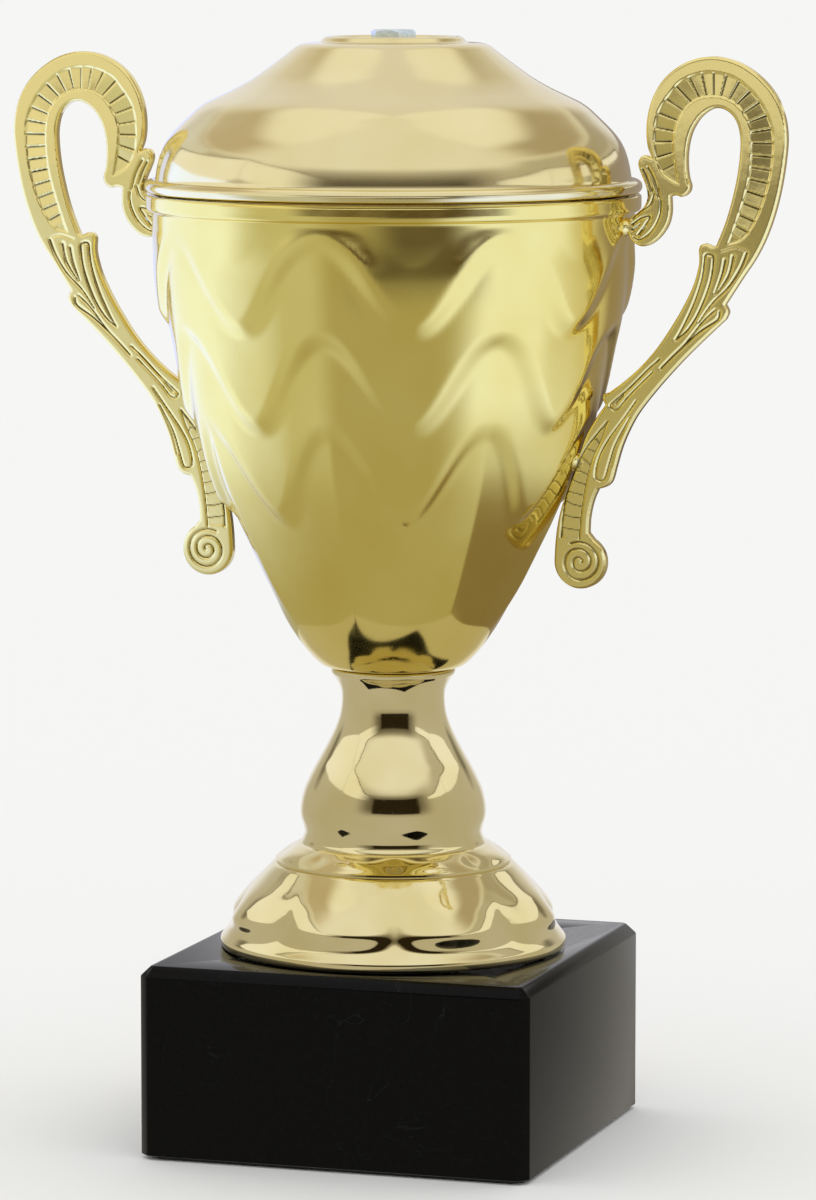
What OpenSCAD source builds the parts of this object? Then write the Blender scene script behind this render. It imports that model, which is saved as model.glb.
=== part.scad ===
// Presentation cup with two scroll handles and a lift-off lid, on a square marble block.
// Origin: centre of the underside. +Z is up, -Y is the front, the handles stand along X.

/* [Base] */
// Side of the square marble block
base_side = 100; // [96:1:130]
// Height from the table to the top of the marble
base_h = 48.2; // [40:0.1:60]
// Chamfer on the top edges and the upright corners
base_chamfer = 2.5; // [1:0.5:5]
// Thickness of the felt sheet under the block
felt_t = 1; // [0.5:0.1:2]

/* [Cup] */
// Wall of the drawn metal cup and lid
wall = 0.8; // [0.6:0.1:1.2]
// Radius of the cup's collar under the lid
collar_r = 61.3; // [61:0.1:62]
// Radius of the rolled bead round the lid
bead_r = 61.5; // [61:0.1:62]
// Wall of the moulded foot and stem
moulding_wall = 2; // [1.5:0.5:3]

/* [Handles] */
// Thickness of the cast handles
handle_t = 3.4; // [3:0.1:5]
// Steps in each span of the handle's outline
outline_steps = 4; // [2:1:8]

/* [Fasteners] */
// Radius of the tie rod and of the lid's bolt
rod_r = 2.95; // [2.45:0.05:3.2]
// Width across the flats of the nuts
nut_flats = 10; // [9:0.5:13]
// Height of the nuts
nut_h = 5; // [4:0.5:6]
// Radius of the handle screws
screw_r = 1.4; // [1:0.1:1.5]

/* [Hidden] */
$fn = 96;
eps = 0.1;                          // lets a cut run past the face that it opens
fit = 0.05;                         // running clearance between a thread and its nut
clearance = 0.45;                   // radial room round the rod in the pieces that it ties together

// Heights, from the table up
counterbore_h = 15;                 // roof of the pocket under the marble
foot_z = base_h + 0.2;              // the foot stands on a thin bed of adhesive
foot_top = 74.4;
stem_top = 118.3;
cup_floor = stem_top + wall;
collar_top = 236.2;
lid_seat = collar_top + 0.3;        // the lid's bead rests just above the collar
lid_floor = 271.4;                  // dished top of the lid, where its nut stands
lid_nut_z = lid_floor + 0.2;
ring_z = 232.6;                     // lower edge of the ring inside the lid
ring_h = 8.9;
ring_r = 57.7;

// Fasteners
washer_t = 1.6;
washer_r = 9;
cup_washer_r = 11;
base_nut_z = counterbore_h - washer_t - nut_h;
rod_low = base_nut_z - 2.4;
cup_nut_z = cup_floor + washer_t;
rod_high = cup_nut_z + nut_h + 1.3;
bolt_head_h = 4;
handle_washer_t = 0.5;
washer_gap = wall + 0.2;            // the flat washers bridge the curve of the cup's wall

// Where the handles are screwed on: radius and height on the cup's wall, and the wall's lean there
upper_fix = [59.7, 229, 0];
lower_fix = [47.25, 171, 18.8];
boss_r = 2;

// Outer profiles, as [radius, height]
foot_profile = [[43, foot_z], [43.3, 49.4], [43.3, 50.6], [42.9, 52.2], [41.8, 54.4], [40.4, 56.8],
    [39.3, 58.6], [38.2, 60.6], [36.7, 62.9], [34.6, 65.4], [32.2, 67.6], [29.5, 69.4],
    [29.5, 70.4], [29.1, 71], [27.4, 72.1], [25.4, 73.3], [23.4, foot_top]];
stem_profile = [[23.4, foot_top], [22.6, 75.6], [22.2, 77], [22.5, 78.6], [23.1, 80.6], [23.25, 82.4],
    [23, 84.8], [22.3, 87.6], [21.2, 90.2], [19.6, 93.4], [17.8, 96.6], [15.9, 100.2], [14.4, 103.4],
    [13.3, 106.8], [12.9, 110], [13, 112.4], [13.6, 114.2], [14.7, 116], [15.5, 117.4], [15.5, stem_top]];
cup_profile = [[14.6, stem_top], [17.2, 118.9], [19, 120.1], [21.2, 122.4], [23.2, 125], [26.6, 130],
    [29.7, 135], [32.6, 140], [35.2, 145], [37.7, 150], [40.2, 155], [42.6, 160], [44.9, 165],
    [46.9, 170], [48.6, 175], [50.2, 180], [51.6, 185], [52.8, 190], [53.9, 195], [55.1, 200],
    [56.6, 205], [57.8, 210], [58.7, 215], [59.3, 220], [59.6, 226], [59.7, 232]];
lid_profile = [[10.6, lid_floor], [12.4, 271.8], [13.6, 273.2], [14.8, 274.8], [16.2, 275], [17.4, 274.5],
    [17.9, 273.7], [19, 273.5], [22.2, 273.2], [23.8, 272.6], [25.4, 271.4], [28.4, 269.1],
    [31.4, 266.9], [34.4, 264.8], [37.1, 263.2], [40, 261.7], [43, 260.3], [46.1, 258.8],
    [48.3, 257.3], [50.6, 255.2], [53, 252.9], [55, 250.7], [56.6, 248.3], [57.7, 245.6],
    [58.4, 242.8], [58.8, 239.6]];

// Handle outline, as [distance from the axis, height]. Each run is smooth and the runs meet at corners.
neck_run = [[50.8, 153.7], [51, 157.5], [51.9, 161.6], [53.2, 164.6]];
lower_leaf_run = [[53.2, 164.6], [55.2, 165.2], [56.7, 166.7], [57.8, 170.5], [59.2, 175.2],
    [61.2, 179.8], [63.8, 184.2], [68.6, 190.2], [74.6, 196.8], [80.4, 202.5], [85.2, 207]];
upper_leaf_run = [[85.2, 207], [85.9, 208.8], [85.1, 210.6]];
loop_run = [[85.1, 210.6], [89.4, 217.2], [92.5, 221.8], [94.9, 226.4], [96.8, 231.4], [98.2, 236.4],
    [99.2, 241.4], [99.9, 246.4], [100.2, 251], [99.7, 255.4], [98.3, 259.6], [95.9, 263.4],
    [92.3, 266.8], [87.8, 269.4], [82.8, 270.6], [77.8, 270.2], [73.2, 268.3], [69.4, 265.2],
    [66.9, 261.4], [65.5, 257.2], [65, 253], [65.3, 249], [66.4, 245.9]];
hook_run = [[66.4, 245.9], [65.6, 246.4], [64.2, 246.5], [63.2, 245.4], [63.1, 243.8], [63.9, 241.6],
    [65, 239], [65.4, 236.4], [64.6, 234.2], [62.9, 232.6], [61.2, 231.4], [60.5, 229.6],
    [60.7, 227.2], [61.9, 225.4], [63.9, 224.4], [66.2, 224.9], [68.6, 226.8], [70.5, 229.6],
    [71.3, 232.8], [71.2, 236.6]];
beak_run = [[71.2, 236.6], [72.6, 236.9], [74.2, 236.6], [75.7, 237.6], [76.2, 239.2], [75.6, 241.4],
    [75.3, 244], [75.3, 247], [75.8, 250.4], [76.9, 253.4], [79, 256.3], [82, 258.1], [85, 257.7],
    [87.4, 255.3], [88.5, 251.5], [88.5, 247], [87.8, 241.5], [86.6, 236], [85, 230.5], [82.8, 225]];
inner_run = [[82.8, 225], [81.8, 224.7], [80.5, 225.3], [79.1, 225.1], [78.4, 223.8], [78.5, 221.8],
    [78.3, 219.5], [77, 215], [74.5, 209.8], [71.4, 204.6], [67.8, 199.4], [63.7, 194.8],
    [59.4, 191], [55.8, 188.4]];
cup_side_run = [[55.8, 188.4], [54.6, 188], [54.3, 186.8], [55, 185.4]];
foot_run = [[55, 185.4], [52.7, 182.2], [50.4, 178.4], [48.6, 173.6], [47, 168.8], [45.3, 164],
    [43.8, 159.6], [42.8, 155], [42.3, 150.6], [42.1, 146.6]];
volute_centre = [48.7, 146.4];
volute_r = 6.6;

function smooth(p, n) = [for (i = [0 : len(p) - 2]) for (k = [0 : n - 1])
    let (a = p[max(i - 1, 0)], b = p[i], c = p[i + 1], d = p[min(i + 2, len(p) - 1)], t = k / n)
    b + t * (c - a) / 2 + t * t * (a - 2.5 * b + 2 * c - d / 2) + t * t * t * (1.5 * (b - c) + (d - a) / 2)];
function arc(c, r, a0, a1, n) = [for (k = [0 : n]) let (a = a0 + (a1 - a0) * k / n)
    c + r * [cos(a), sin(a)]];
function inward(p, t) = [for (i = [0 : len(p) - 1])
    let (d = p[min(i + 1, len(p) - 1)] - p[max(i - 1, 0)]) p[i] + t * [-d.y, d.x] / norm(d)];
function flipped(p) = [for (i = [len(p) - 1 : -1 : 0]) p[i]];
function handle_outline() = concat(
    smooth(neck_run, outline_steps),
    smooth(lower_leaf_run, outline_steps),
    smooth(upper_leaf_run, outline_steps),
    smooth(loop_run, outline_steps),
    smooth(hook_run, outline_steps),
    smooth(beak_run, outline_steps),
    smooth(inner_run, outline_steps),
    smooth(cup_side_run, outline_steps),
    smooth(foot_run, outline_steps),
    arc(volute_centre, volute_r, 178, 418, 16));

module tube(outer, inner, h) {
    difference() {
        cylinder(r = outer, h = h);
        translate([0, 0, -eps]) cylinder(r = inner, h = h + 2 * eps);
    }
}

module hex_nut() {
    difference() {
        cylinder(d = nut_flats / cos(30), h = nut_h, $fn = 6);
        translate([0, 0, -eps]) cylinder(r = rod_r + fit, h = nut_h + 2 * eps);
    }
}

// Square with its corners cut, for the plan of the marble block
module cut_square(side, cut) {
    h = side / 2;
    polygon([[h, cut - h], [h, h - cut], [h - cut, h], [cut - h, h], [-h, h - cut], [-h, cut - h],
        [cut - h, -h], [h - cut, -h]]);
}

// Elevation of the marble block, with only its top corners cut
module block_elevation() {
    h = base_side / 2;
    rotate([90, 0, 0]) linear_extrude(height = base_side + 2, center = true)
        polygon([[-h, felt_t], [h, felt_t], [h, base_h - base_chamfer], [h - base_chamfer, base_h],
            [base_chamfer - h, base_h], [-h, base_h - base_chamfer]]);
}

module marble_base() {
    color("#141416") difference() {
        intersection() {
            linear_extrude(height = base_h + 1) cut_square(base_side, base_chamfer);
            block_elevation();
            rotate([0, 0, 90]) block_elevation();
        }
        translate([0, 0, -eps]) cylinder(r = rod_r + clearance, h = base_h + 1);
        translate([0, 0, -eps]) cylinder(r = washer_r + 2, h = counterbore_h + eps);
    }
}

module base_felt() {
    color("#1d3a26") difference() {
        linear_extrude(height = felt_t) cut_square(base_side - 4, base_chamfer);
        translate([0, 0, -eps]) cylinder(r = washer_r + 3, h = felt_t + 2 * eps);
    }
}

module tie_rod() {
    color("silver") translate([0, 0, rod_low]) cylinder(r = rod_r, h = rod_high - rod_low);
}

module base_nut() {
    color("silver") translate([0, 0, base_nut_z]) hex_nut();
}

module base_washer() {
    color("silver") translate([0, 0, counterbore_h - washer_t]) tube(washer_r, rod_r + clearance, washer_t);
}

// Bell-shaped moulding, open underneath, with a spigot on top that centres the stem
module foot() {
    spigot_r = 19.6;
    top_t = moulding_wall + 0.4;
    color("#cfc184") difference() {
        union() {
            rotate_extrude() polygon(concat([[0, foot_z]], foot_profile, [[0, foot_top]]));
            cylinder(r = spigot_r, h = foot_top + 1.4);
        }
        rotate_extrude() polygon(concat(
            [[0, foot_z - 1], [foot_profile[0].x - moulding_wall, foot_z - 1]],
            [for (p = inward(foot_profile, moulding_wall)) if (p.y < foot_top - top_t && p.x > 22) p],
            [[0, foot_top - top_t]]));
        cylinder(r = rod_r + clearance, h = foot_top + 10);
        cylinder(r = spigot_r + 5, h = foot_z);
    }
}

// Baluster moulding, open underneath, closed by the plate that the cup sits on
module stem() {
    top_t = moulding_wall + 0.5;
    color("#cfc184") difference() {
        rotate_extrude() polygon(concat([[0, foot_top]], stem_profile, [[0, stem_top]]));
        rotate_extrude() polygon(concat(
            [[0, foot_top - 1], [stem_profile[0].x - moulding_wall, foot_top - 1]],
            [for (p = inward(stem_profile, moulding_wall)) if (p.y < stem_top - top_t) p],
            [[0, stem_top - top_t]]));
        cylinder(r = rod_r + clearance, h = stem_top + 10);
    }
}

// Drawn cup with a folded collar round its mouth, drilled for the rod and for the handle screws
module cup_bowl() {
    inner = inward(cup_profile, wall);
    color("#d9c25a") difference() {
        union() {
            rotate_extrude() polygon(concat([[0, stem_top]], cup_profile,
                [[collar_r - 0.4, 232.5], [collar_r, 233.3], [collar_r, collar_top - 0.5],
                    [collar_r - 0.5, collar_top], [59.7 - wall, collar_top]],
                flipped(inner), [[0, cup_floor]]));
        }
        cylinder(r = rod_r + clearance, h = cup_floor + 10);
        on_both_sides() at_fixings() translate([0, 0, -5]) cylinder(r = screw_r + 0.3, h = 10);
    }
}

module cup_washer() {
    color("silver") translate([0, 0, cup_floor]) tube(cup_washer_r, rod_r + clearance, washer_t);
}

module cup_nut() {
    color("silver") translate([0, 0, cup_nut_z]) hex_nut();
}

module on_both_sides() {
    for (turn = [0, 180]) rotate([0, 0, turn]) children();
}

// Puts its children at the two fixings of the right-hand handle, +Z along the outward normal
module at_fixings() {
    for (f = [upper_fix, lower_fix]) translate([f.x, 0, f.y]) rotate([0, 90 + f.z, 0]) children();
}

// Cast S-scroll with two bosses that stand off from the cup and take the screws
module handle() {
    color("#c9ae4e") difference() {
        union() {
            rotate([90, 0, 0]) linear_extrude(height = handle_t, center = true) polygon(handle_outline());
            at_fixings() translate([0, 0, 0.1]) cylinder(r = boss_r, h = 3.4);
        }
        at_fixings() translate([0, 0, -eps]) cylinder(r = screw_r + fit, h = 7);
    }
}

module handle_right() {
    handle();
}

module handle_left() {
    rotate([0, 0, 180]) handle();
}

module handle_washers() {
    color("silver") on_both_sides() at_fixings() translate([0, 0, -washer_gap - handle_washer_t])
        tube(3.2, screw_r + 0.2, handle_washer_t);
}

module handle_screws() {
    head_z = washer_gap + handle_washer_t;
    color("silver") on_both_sides() at_fixings() {
        translate([0, 0, -head_z]) cylinder(r = screw_r, h = head_z + 6);
        translate([0, 0, -head_z - 1.8]) cylinder(r = 2.7, h = 1.8);
    }
}

// Spun dome with a dished top, a raised ring round the dish and a rolled bead at the rim
module lid_shell() {
    color("#d8cf9a") difference() {
        union() {
            rotate_extrude() polygon(concat([[0, lid_floor]], lid_profile, flipped(inward(lid_profile, -wall)),
                [[0, lid_floor - wall]]));
            rotate_extrude() polygon(concat([[58.8 - wall, lid_seat]],
                arc([bead_r - 1.7, lid_seat + 1.7], 1.7, -90, 90, 12), [[58.8 - wall, lid_seat + 3.4]]));
        }
        cylinder(r = rod_r + clearance, h = 400);
    }
}

// Pressed ring inside the lid that drops into the cup's mouth, over the heads of the handle screws
module lid_locating_ring() {
    color("#d8cf9a") translate([0, 0, ring_z]) tube(ring_r, ring_r - wall, ring_h);
}

module lid_bolt() {
    under = lid_floor - wall - washer_t;
    color("silver") {
        translate([0, 0, under - bolt_head_h]) cylinder(d = nut_flats / cos(30), h = bolt_head_h, $fn = 6);
        translate([0, 0, under - eps]) cylinder(r = rod_r, h = lid_nut_z + nut_h - 0.5 - under + eps);
    }
}

module lid_washer() {
    color("silver") translate([0, 0, lid_floor - wall - washer_t]) tube(washer_r, rod_r + clearance, washer_t);
}

module lid_nut() {
    color("#c8d4d4") translate([0, 0, lid_nut_z]) hex_nut();
}

marble_base();
base_felt();
tie_rod();
base_nut();
base_washer();
foot();
stem();
cup_bowl();
cup_washer();
cup_nut();
handle_left();
handle_right();
handle_screws();
handle_washers();
lid_shell();
lid_locating_ring();
lid_bolt();
lid_washer();
lid_nut();
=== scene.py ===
"""Presentation cup with a lift-off lid and two scroll handles on a marble block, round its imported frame."""

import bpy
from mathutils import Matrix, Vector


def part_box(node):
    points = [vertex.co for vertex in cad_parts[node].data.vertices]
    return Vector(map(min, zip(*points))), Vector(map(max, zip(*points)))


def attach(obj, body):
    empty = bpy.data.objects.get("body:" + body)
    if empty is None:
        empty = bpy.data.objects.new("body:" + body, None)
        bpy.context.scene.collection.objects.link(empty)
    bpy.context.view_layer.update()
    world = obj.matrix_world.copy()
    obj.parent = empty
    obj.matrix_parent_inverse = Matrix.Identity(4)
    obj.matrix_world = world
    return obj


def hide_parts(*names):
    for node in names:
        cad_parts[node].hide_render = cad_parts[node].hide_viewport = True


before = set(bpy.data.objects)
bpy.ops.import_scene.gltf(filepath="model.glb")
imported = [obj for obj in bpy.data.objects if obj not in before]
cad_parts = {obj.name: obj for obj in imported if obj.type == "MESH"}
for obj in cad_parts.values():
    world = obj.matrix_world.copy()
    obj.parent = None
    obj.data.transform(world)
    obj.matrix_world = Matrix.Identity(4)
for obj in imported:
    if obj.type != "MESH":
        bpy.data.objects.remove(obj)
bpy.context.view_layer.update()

import logging
import math
from collections.abc import Callable, Sequence
from dataclasses import dataclass
from enum import Enum

import bmesh
import bpy
import numpy as np
from mathutils import Matrix, Vector

MM = 0.001
LOG = logging.getLogger("cup_trophy")

Point = tuple[float, float]
Run = tuple[Point, ...]

# Where the handles are screwed to the cup: radius and height in mm, and how far the wall's normal points
# down, in degrees.
FIXINGS: tuple[tuple[float, float, float], ...] = ((59.7, 229.0, 0.0), (47.25, 171.0, 18.8))


class Body(Enum):
    """The two bodies of the frame: everything that stands still, and the lid that lifts off."""

    TROPHY = "trophy"
    LID = "lid"


class Slot(Enum):
    """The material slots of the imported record."""

    MARBLE = "black_marble"
    FELT = "felt"
    ZINC = "zinc_steel"
    CUP = "gold_cup"
    LID = "gold_lid"
    CASTING = "gold_casting"
    PLASTIC = "metallised_plastic"


class Edge(Enum):
    """How far a surface may turn at an edge, in degrees, before the edge is shown sharp."""

    TURNED = 34.0
    MACHINED = 22.0
    RELIEF = 60.0


# ---------------------------------------------------------------- curves and meshes


def smooth(run: Run, steps: int) -> np.ndarray:
    """Runs a Catmull-Rom curve through the points of a run.

    Args:
        run: Points that the curve passes through.
        steps: Number of spans between two points.

    Returns:
        The curve's points, one to a row, with both ends.
    """
    given = np.array(run, float)
    p = np.vstack([given[:1], given, given[-1:]])
    spans = []
    for i in range(len(given) - 1):
        a, b, c, d = p[i], p[i + 1], p[i + 2], p[i + 3]
        for k in range(steps):
            t = k / steps
            spans.append(b + t * (c - a) / 2 + t**2 * (a - 2.5 * b + 2 * c - d / 2)
                         + t**3 * (1.5 * (b - c) + (d - a) / 2))
    return np.vstack([spans, given[-1:]])


def respaced(points: np.ndarray, spacing: float) -> np.ndarray:
    """Places points along a curve at one distance from each other.

    Args:
        points: Points of the curve, in mm.
        spacing: Distance between two points, in mm.

    Returns:
        The new points, with both ends.
    """
    along = np.concatenate([[0], np.cumsum(np.hypot(*np.diff(points, axis=0).T))])
    at = np.linspace(0, along[-1], max(2, round(along[-1] / spacing) + 1))
    return np.column_stack([np.interp(at, along, points[:, k]) for k in (0, 1)])


def offset(points: np.ndarray, distance: float) -> np.ndarray:
    """Moves a profile that climbs along +Z towards the axis.

    Args:
        points: Radius and height of each point, in mm.
        distance: How far it moves, in mm.

    Returns:
        The moved points.
    """
    along = np.gradient(points, axis=0)
    along /= np.linalg.norm(along, axis=1)[:, None]
    return points + distance * np.column_stack([-along[:, 1], along[:, 0]])


def nearest(points: np.ndarray, line: np.ndarray) -> tuple[np.ndarray, np.ndarray, np.ndarray]:
    """Finds the place on a broken line that is nearest to each point.

    Args:
        points: Points of the plane, in mm.
        line: Corners of the line, in mm.

    Returns:
        The distances, the share of the line's length at which each nearest place lies, and the places.
    """
    start, step = line[:-1], np.diff(line, axis=0)
    size = np.maximum((step**2).sum(1), 1e-12)
    length = np.sqrt(size)
    before = np.concatenate([[0], np.cumsum(length)[:-1]])
    best = np.full(len(points), np.inf)
    share = np.zeros(len(points))
    place = np.zeros((len(points), 2))
    for a, s, q, ln, run_up in zip(start, step, size, length, before):
        t = np.clip(((points - a) @ s) / q, 0, 1)
        foot = a + t[:, None] * s
        away = ((points - foot) ** 2).sum(1)
        closer = away < best
        best = np.where(closer, away, best)
        share = np.where(closer, run_up + t * ln, share)
        place[closer] = foot[closer]
    return np.sqrt(best), share / length.sum(), place


def inside(points: np.ndarray, outline: np.ndarray) -> np.ndarray:
    """Tells which points lie within a closed outline.

    Args:
        points: Points of the plane, in mm.
        outline: Corners of the outline, in mm.

    Returns:
        True for each point that lies within.
    """
    x, z = points[:, 0], points[:, 1]
    result = np.zeros(len(points), bool)
    for (x0, z0), (x1, z1) in zip(outline, np.roll(outline, -1, axis=0)):
        if z0 != z1:
            result ^= ((z0 > z) != (z1 > z)) & (x < (x1 - x0) * (z - z0) / (z1 - z0) + x0)
    return result


def ramp(value: np.ndarray, low: float, high: float) -> np.ndarray:
    """Climbs softly from 0 at low to 1 at high, or falls where high is under low."""
    t = np.clip((value - low) / (high - low), 0, 1)
    return t * t * (3 - 2 * t)


def node_span(node: str) -> tuple[float, float]:
    """Lowest and highest height of a CAD node, in mm."""
    low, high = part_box(node)
    return low.z / MM, high.z / MM


def turned(profile: Sequence[Sequence[float]], steps: int, closed: bool = True) -> bmesh.types.BMesh:
    """Turns a profile round the axis of the cup.

    Args:
        profile: Radius and height of each point, in mm.
        steps: Number of faces round the axis.
        closed: Whether the last point joins the first.

    Returns:
        The turned shape, with its faces outwards.
    """
    bm = bmesh.new()
    corners = [bm.verts.new((0.0, -r * MM, z * MM)) for r, z in profile]
    edges = [bm.edges.new(pair) for pair in zip(corners, corners[1:])]
    if closed:
        edges.append(bm.edges.new((corners[-1], corners[0])))
    bmesh.ops.spin(bm, geom=corners + edges, cent=(0, 0, 0), axis=(0, 0, 1), angle=math.tau, steps=steps,
                   use_merge=True)
    return settled(bm)


def settled(bm: bmesh.types.BMesh, reach: float = 0.002) -> bmesh.types.BMesh:
    """Merges doubled corners and turns all faces outwards.

    Args:
        bm: The shape.
        reach: Distance within which corners merge, in mm.

    Returns:
        The same shape.
    """
    bmesh.ops.remove_doubles(bm, verts=bm.verts[:], dist=reach * MM)
    bmesh.ops.dissolve_degenerate(bm, edges=bm.edges[:], dist=reach * MM / 10)
    bmesh.ops.recalc_face_normals(bm, faces=bm.faces[:])
    return bm


def bevelled(bm: bmesh.types.BMesh, edges: Sequence[bmesh.types.BMEdge], width: float,
             segments: int = 1) -> None:
    """Bevels edges of a shape.

    Args:
        bm: The shape.
        edges: The edges.
        width: Width of the bevel, in mm.
        segments: Number of faces across it.
    """
    bmesh.ops.bevel(bm, geom=edges, offset=width * MM, offset_type="OFFSET", segments=segments, profile=0.5,
                    affect="EDGES", material=-1)


def sliced(bm: bmesh.types.BMesh, place: Vector, normal: Vector) -> None:
    """Cuts off what lies past a plane and closes the cut.

    Args:
        bm: The shape.
        place: A point of the plane, in mm.
        normal: Where the plane faces.
    """
    geom = bm.verts[:] + bm.edges[:] + bm.faces[:]
    cut = bmesh.ops.bisect_plane(bm, geom=geom, dist=1e-7, plane_co=place * MM, plane_no=normal,
                                 clear_outer=True)
    rim = [item for item in cut["geom_cut"] if isinstance(item, bmesh.types.BMEdge)]
    bmesh.ops.edgenet_fill(bm, edges=rim)


def threaded_rod(radius: float, pitch: float, low: float, high: float) -> bmesh.types.BMesh:
    """Winds a metric thread up a rod.

    Args:
        radius: Radius over the crests, in mm.
        pitch: Distance from crest to crest, in mm.
        low: Height of the lower end, in mm.
        high: Height of the upper end, in mm.

    Returns:
        The rod with flat ends.
    """
    steps = 20
    root = radius - 0.55 * pitch
    bm = bmesh.new()
    corners = []
    for k in range(-2, math.ceil((high - low) / pitch) + 1):
        z = low + k * pitch
        for r, rise in ((root, 0.0), (radius, 0.38), (radius, 0.52), (root, 0.9)):
            corners.append(bm.verts.new((0.0, -r * MM, (z + rise * pitch) * MM)))
    edges = [bm.edges.new(pair) for pair in zip(corners, corners[1:])]
    bmesh.ops.spin(bm, geom=corners + edges, cent=(0, 0, 0), axis=(0, 0, 1), angle=math.tau, steps=steps,
                   dvec=(0, 0, pitch * MM / steps))
    settled(bm, 0.01)
    up = Vector((0, 0, 1))
    sliced(bm, up * low, -up)
    sliced(bm, up * high, up)
    return settled(bm)


def hexagon(flats: float, low: float, high: float, bore: float,
            chamfers: tuple[bool, bool]) -> bmesh.types.BMesh:
    """Makes a hexagonal nut or bolt head with the turned chamfers of the real one.

    Args:
        flats: Width across the flats, in mm.
        low: Height of the lower face, in mm.
        high: Height of the upper face, in mm.
        bore: Radius of the bore, in mm.
        chamfers: Whether the lower and the upper corners are turned off.

    Returns:
        The hexagon.
    """
    corner, land = flats / math.sqrt(3), 0.475 * flats
    drop = (corner - land) * math.tan(math.radians(30))
    lower = [(land, low), (corner, low + drop)] if chamfers[0] else [(corner, low)]
    upper = [(corner, high - drop), (land, high)] if chamfers[1] else [(corner, high)]
    lead = 0.35
    profile = [(bore + lead, low), *lower, *upper, (bore + lead, high), (bore, high - lead),
               (bore, low + lead)]
    bm = turned(profile, 96)
    for k in range(6):
        turn = math.radians(30 + 60 * k)
        normal = Vector((math.cos(turn), math.sin(turn), 0))
        sliced(bm, normal * flats / 2, normal)
    return settled(bm)


def joined(bm: bmesh.types.BMesh, other: bmesh.types.BMesh) -> None:
    """Adds a second shape to a first one and frees the second.

    Args:
        bm: The shape that grows.
        other: The shape that is used up.
    """
    mesh = bpy.data.meshes.new("joint")
    other.to_mesh(mesh)
    other.free()
    bm.from_mesh(mesh)
    bpy.data.meshes.remove(mesh)


def piece_from(bm: bmesh.types.BMesh, name: str, edge: Edge) -> bpy.types.Object:
    """Makes a piece of a finished shape and frees the shape.

    Args:
        bm: The shape.
        name: Name of the piece.
        edge: Which of its edges show sharp.

    Returns:
        The piece, at the origin.
    """
    limit = math.radians(edge.value)
    for face in bm.faces:
        face.smooth = True
    for line in bm.edges:
        line.smooth = not (len(line.link_faces) == 2 and line.calc_face_angle(0.0) > limit)
    mesh = bpy.data.meshes.new(name)
    bm.to_mesh(mesh)
    bm.free()
    piece = bpy.data.objects.new(name, mesh)
    bpy.context.scene.collection.objects.link(piece)
    return piece


def corners_of(piece: bpy.types.Object) -> np.ndarray:
    """The corners of a piece's mesh, one to a row, in mm."""
    flat = np.zeros(len(piece.data.vertices) * 3)
    piece.data.vertices.foreach_get("co", flat)
    return flat.reshape(-1, 3) / MM


def set_corners(piece: bpy.types.Object, corners: np.ndarray) -> None:
    """Moves the corners of a piece's mesh.

    Args:
        piece: The piece.
        corners: The new corners, one to a row, in mm.
    """
    piece.data.vertices.foreach_set("co", (corners * MM).ravel())
    piece.data.update()


def radial(piece: bpy.types.Object, rise: Callable[[np.ndarray, np.ndarray, np.ndarray], np.ndarray]) -> None:
    """Moves the corners of a turned piece away from its axis.

    Args:
        piece: The piece.
        rise: Gives the move in mm for each azimuth in radians from the front, height and radius in mm.
    """
    co = corners_of(piece)
    r = np.hypot(co[:, 0], co[:, 1])
    azimuth = np.arctan2(co[:, 0], -co[:, 1])
    grown = (r + rise(azimuth, co[:, 2], r)) / np.maximum(r, 1e-6)
    co[:, 0] *= grown
    co[:, 1] *= grown
    set_corners(piece, co)


def bored(piece: bpy.types.Object, drills: Sequence[bpy.types.Object]) -> None:
    """Cuts drills out of a piece and removes them.

    Args:
        piece: The piece.
        drills: The shapes that are cut out.
    """
    for drill in drills:
        cut = piece.modifiers.new("bore", "BOOLEAN")
        cut.object, cut.solver = drill, "EXACT"
    bpy.context.view_layer.update()
    graph = bpy.context.evaluated_depsgraph_get()
    mesh = bpy.data.meshes.new_from_object(piece.evaluated_get(graph))
    piece.modifiers.clear()
    old, piece.data = piece.data, mesh
    name = old.name
    bpy.data.meshes.remove(old)
    mesh.name = name
    for drill in drills:
        bpy.data.objects.remove(drill)


def on_axis(bm: bmesh.types.BMesh, foot: Vector, axis: Vector) -> bmesh.types.BMesh:
    """Lays a shape that was made up the Z axis along another axis.

    Args:
        bm: The shape.
        foot: Where its origin goes, in mm.
        axis: Where its +Z points.

    Returns:
        The same shape.
    """
    turn = Vector((0, 0, 1)).rotation_difference(axis).to_matrix()
    bmesh.ops.rotate(bm, verts=bm.verts[:], cent=(0, 0, 0), matrix=turn)
    bmesh.ops.translate(bm, verts=bm.verts[:], vec=foot * MM)
    return bm


def placed(piece: bpy.types.Object, body: Body, slot: Slot, finish: "Finish", *nodes: str) -> None:
    """Dresses a piece, puts it on its body and lets it stand for its CAD nodes.

    Args:
        piece: The piece.
        body: The body that it moves with.
        slot: The record's slot that its finish belongs to. It is not used.
        finish: Its finish.
        nodes: The CAD nodes that it stands for.
    """
    piece.data.materials.clear()
    piece.data.materials.append(finish.material())
    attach(piece, body.value)
    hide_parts(*nodes)
    LOG.info("%s: %d faces on %s", piece.name, len(piece.data.polygons), body.value)


# ---------------------------------------------------------------- finishes


def linear(code: str) -> tuple[float, float, float, float]:
    """Turns an sRGB hex colour into linear light.

    Args:
        code: The colour, such as "#C9B960".

    Returns:
        Red, green, blue and 1.
    """
    channels = [int(code[k:k + 2], 16) / 255 for k in (1, 3, 5)]
    light = [c / 12.92 if c <= 0.04045 else ((c + 0.055) / 1.055) ** 2.4 for c in channels]
    return light[0], light[1], light[2], 1.0


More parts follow.
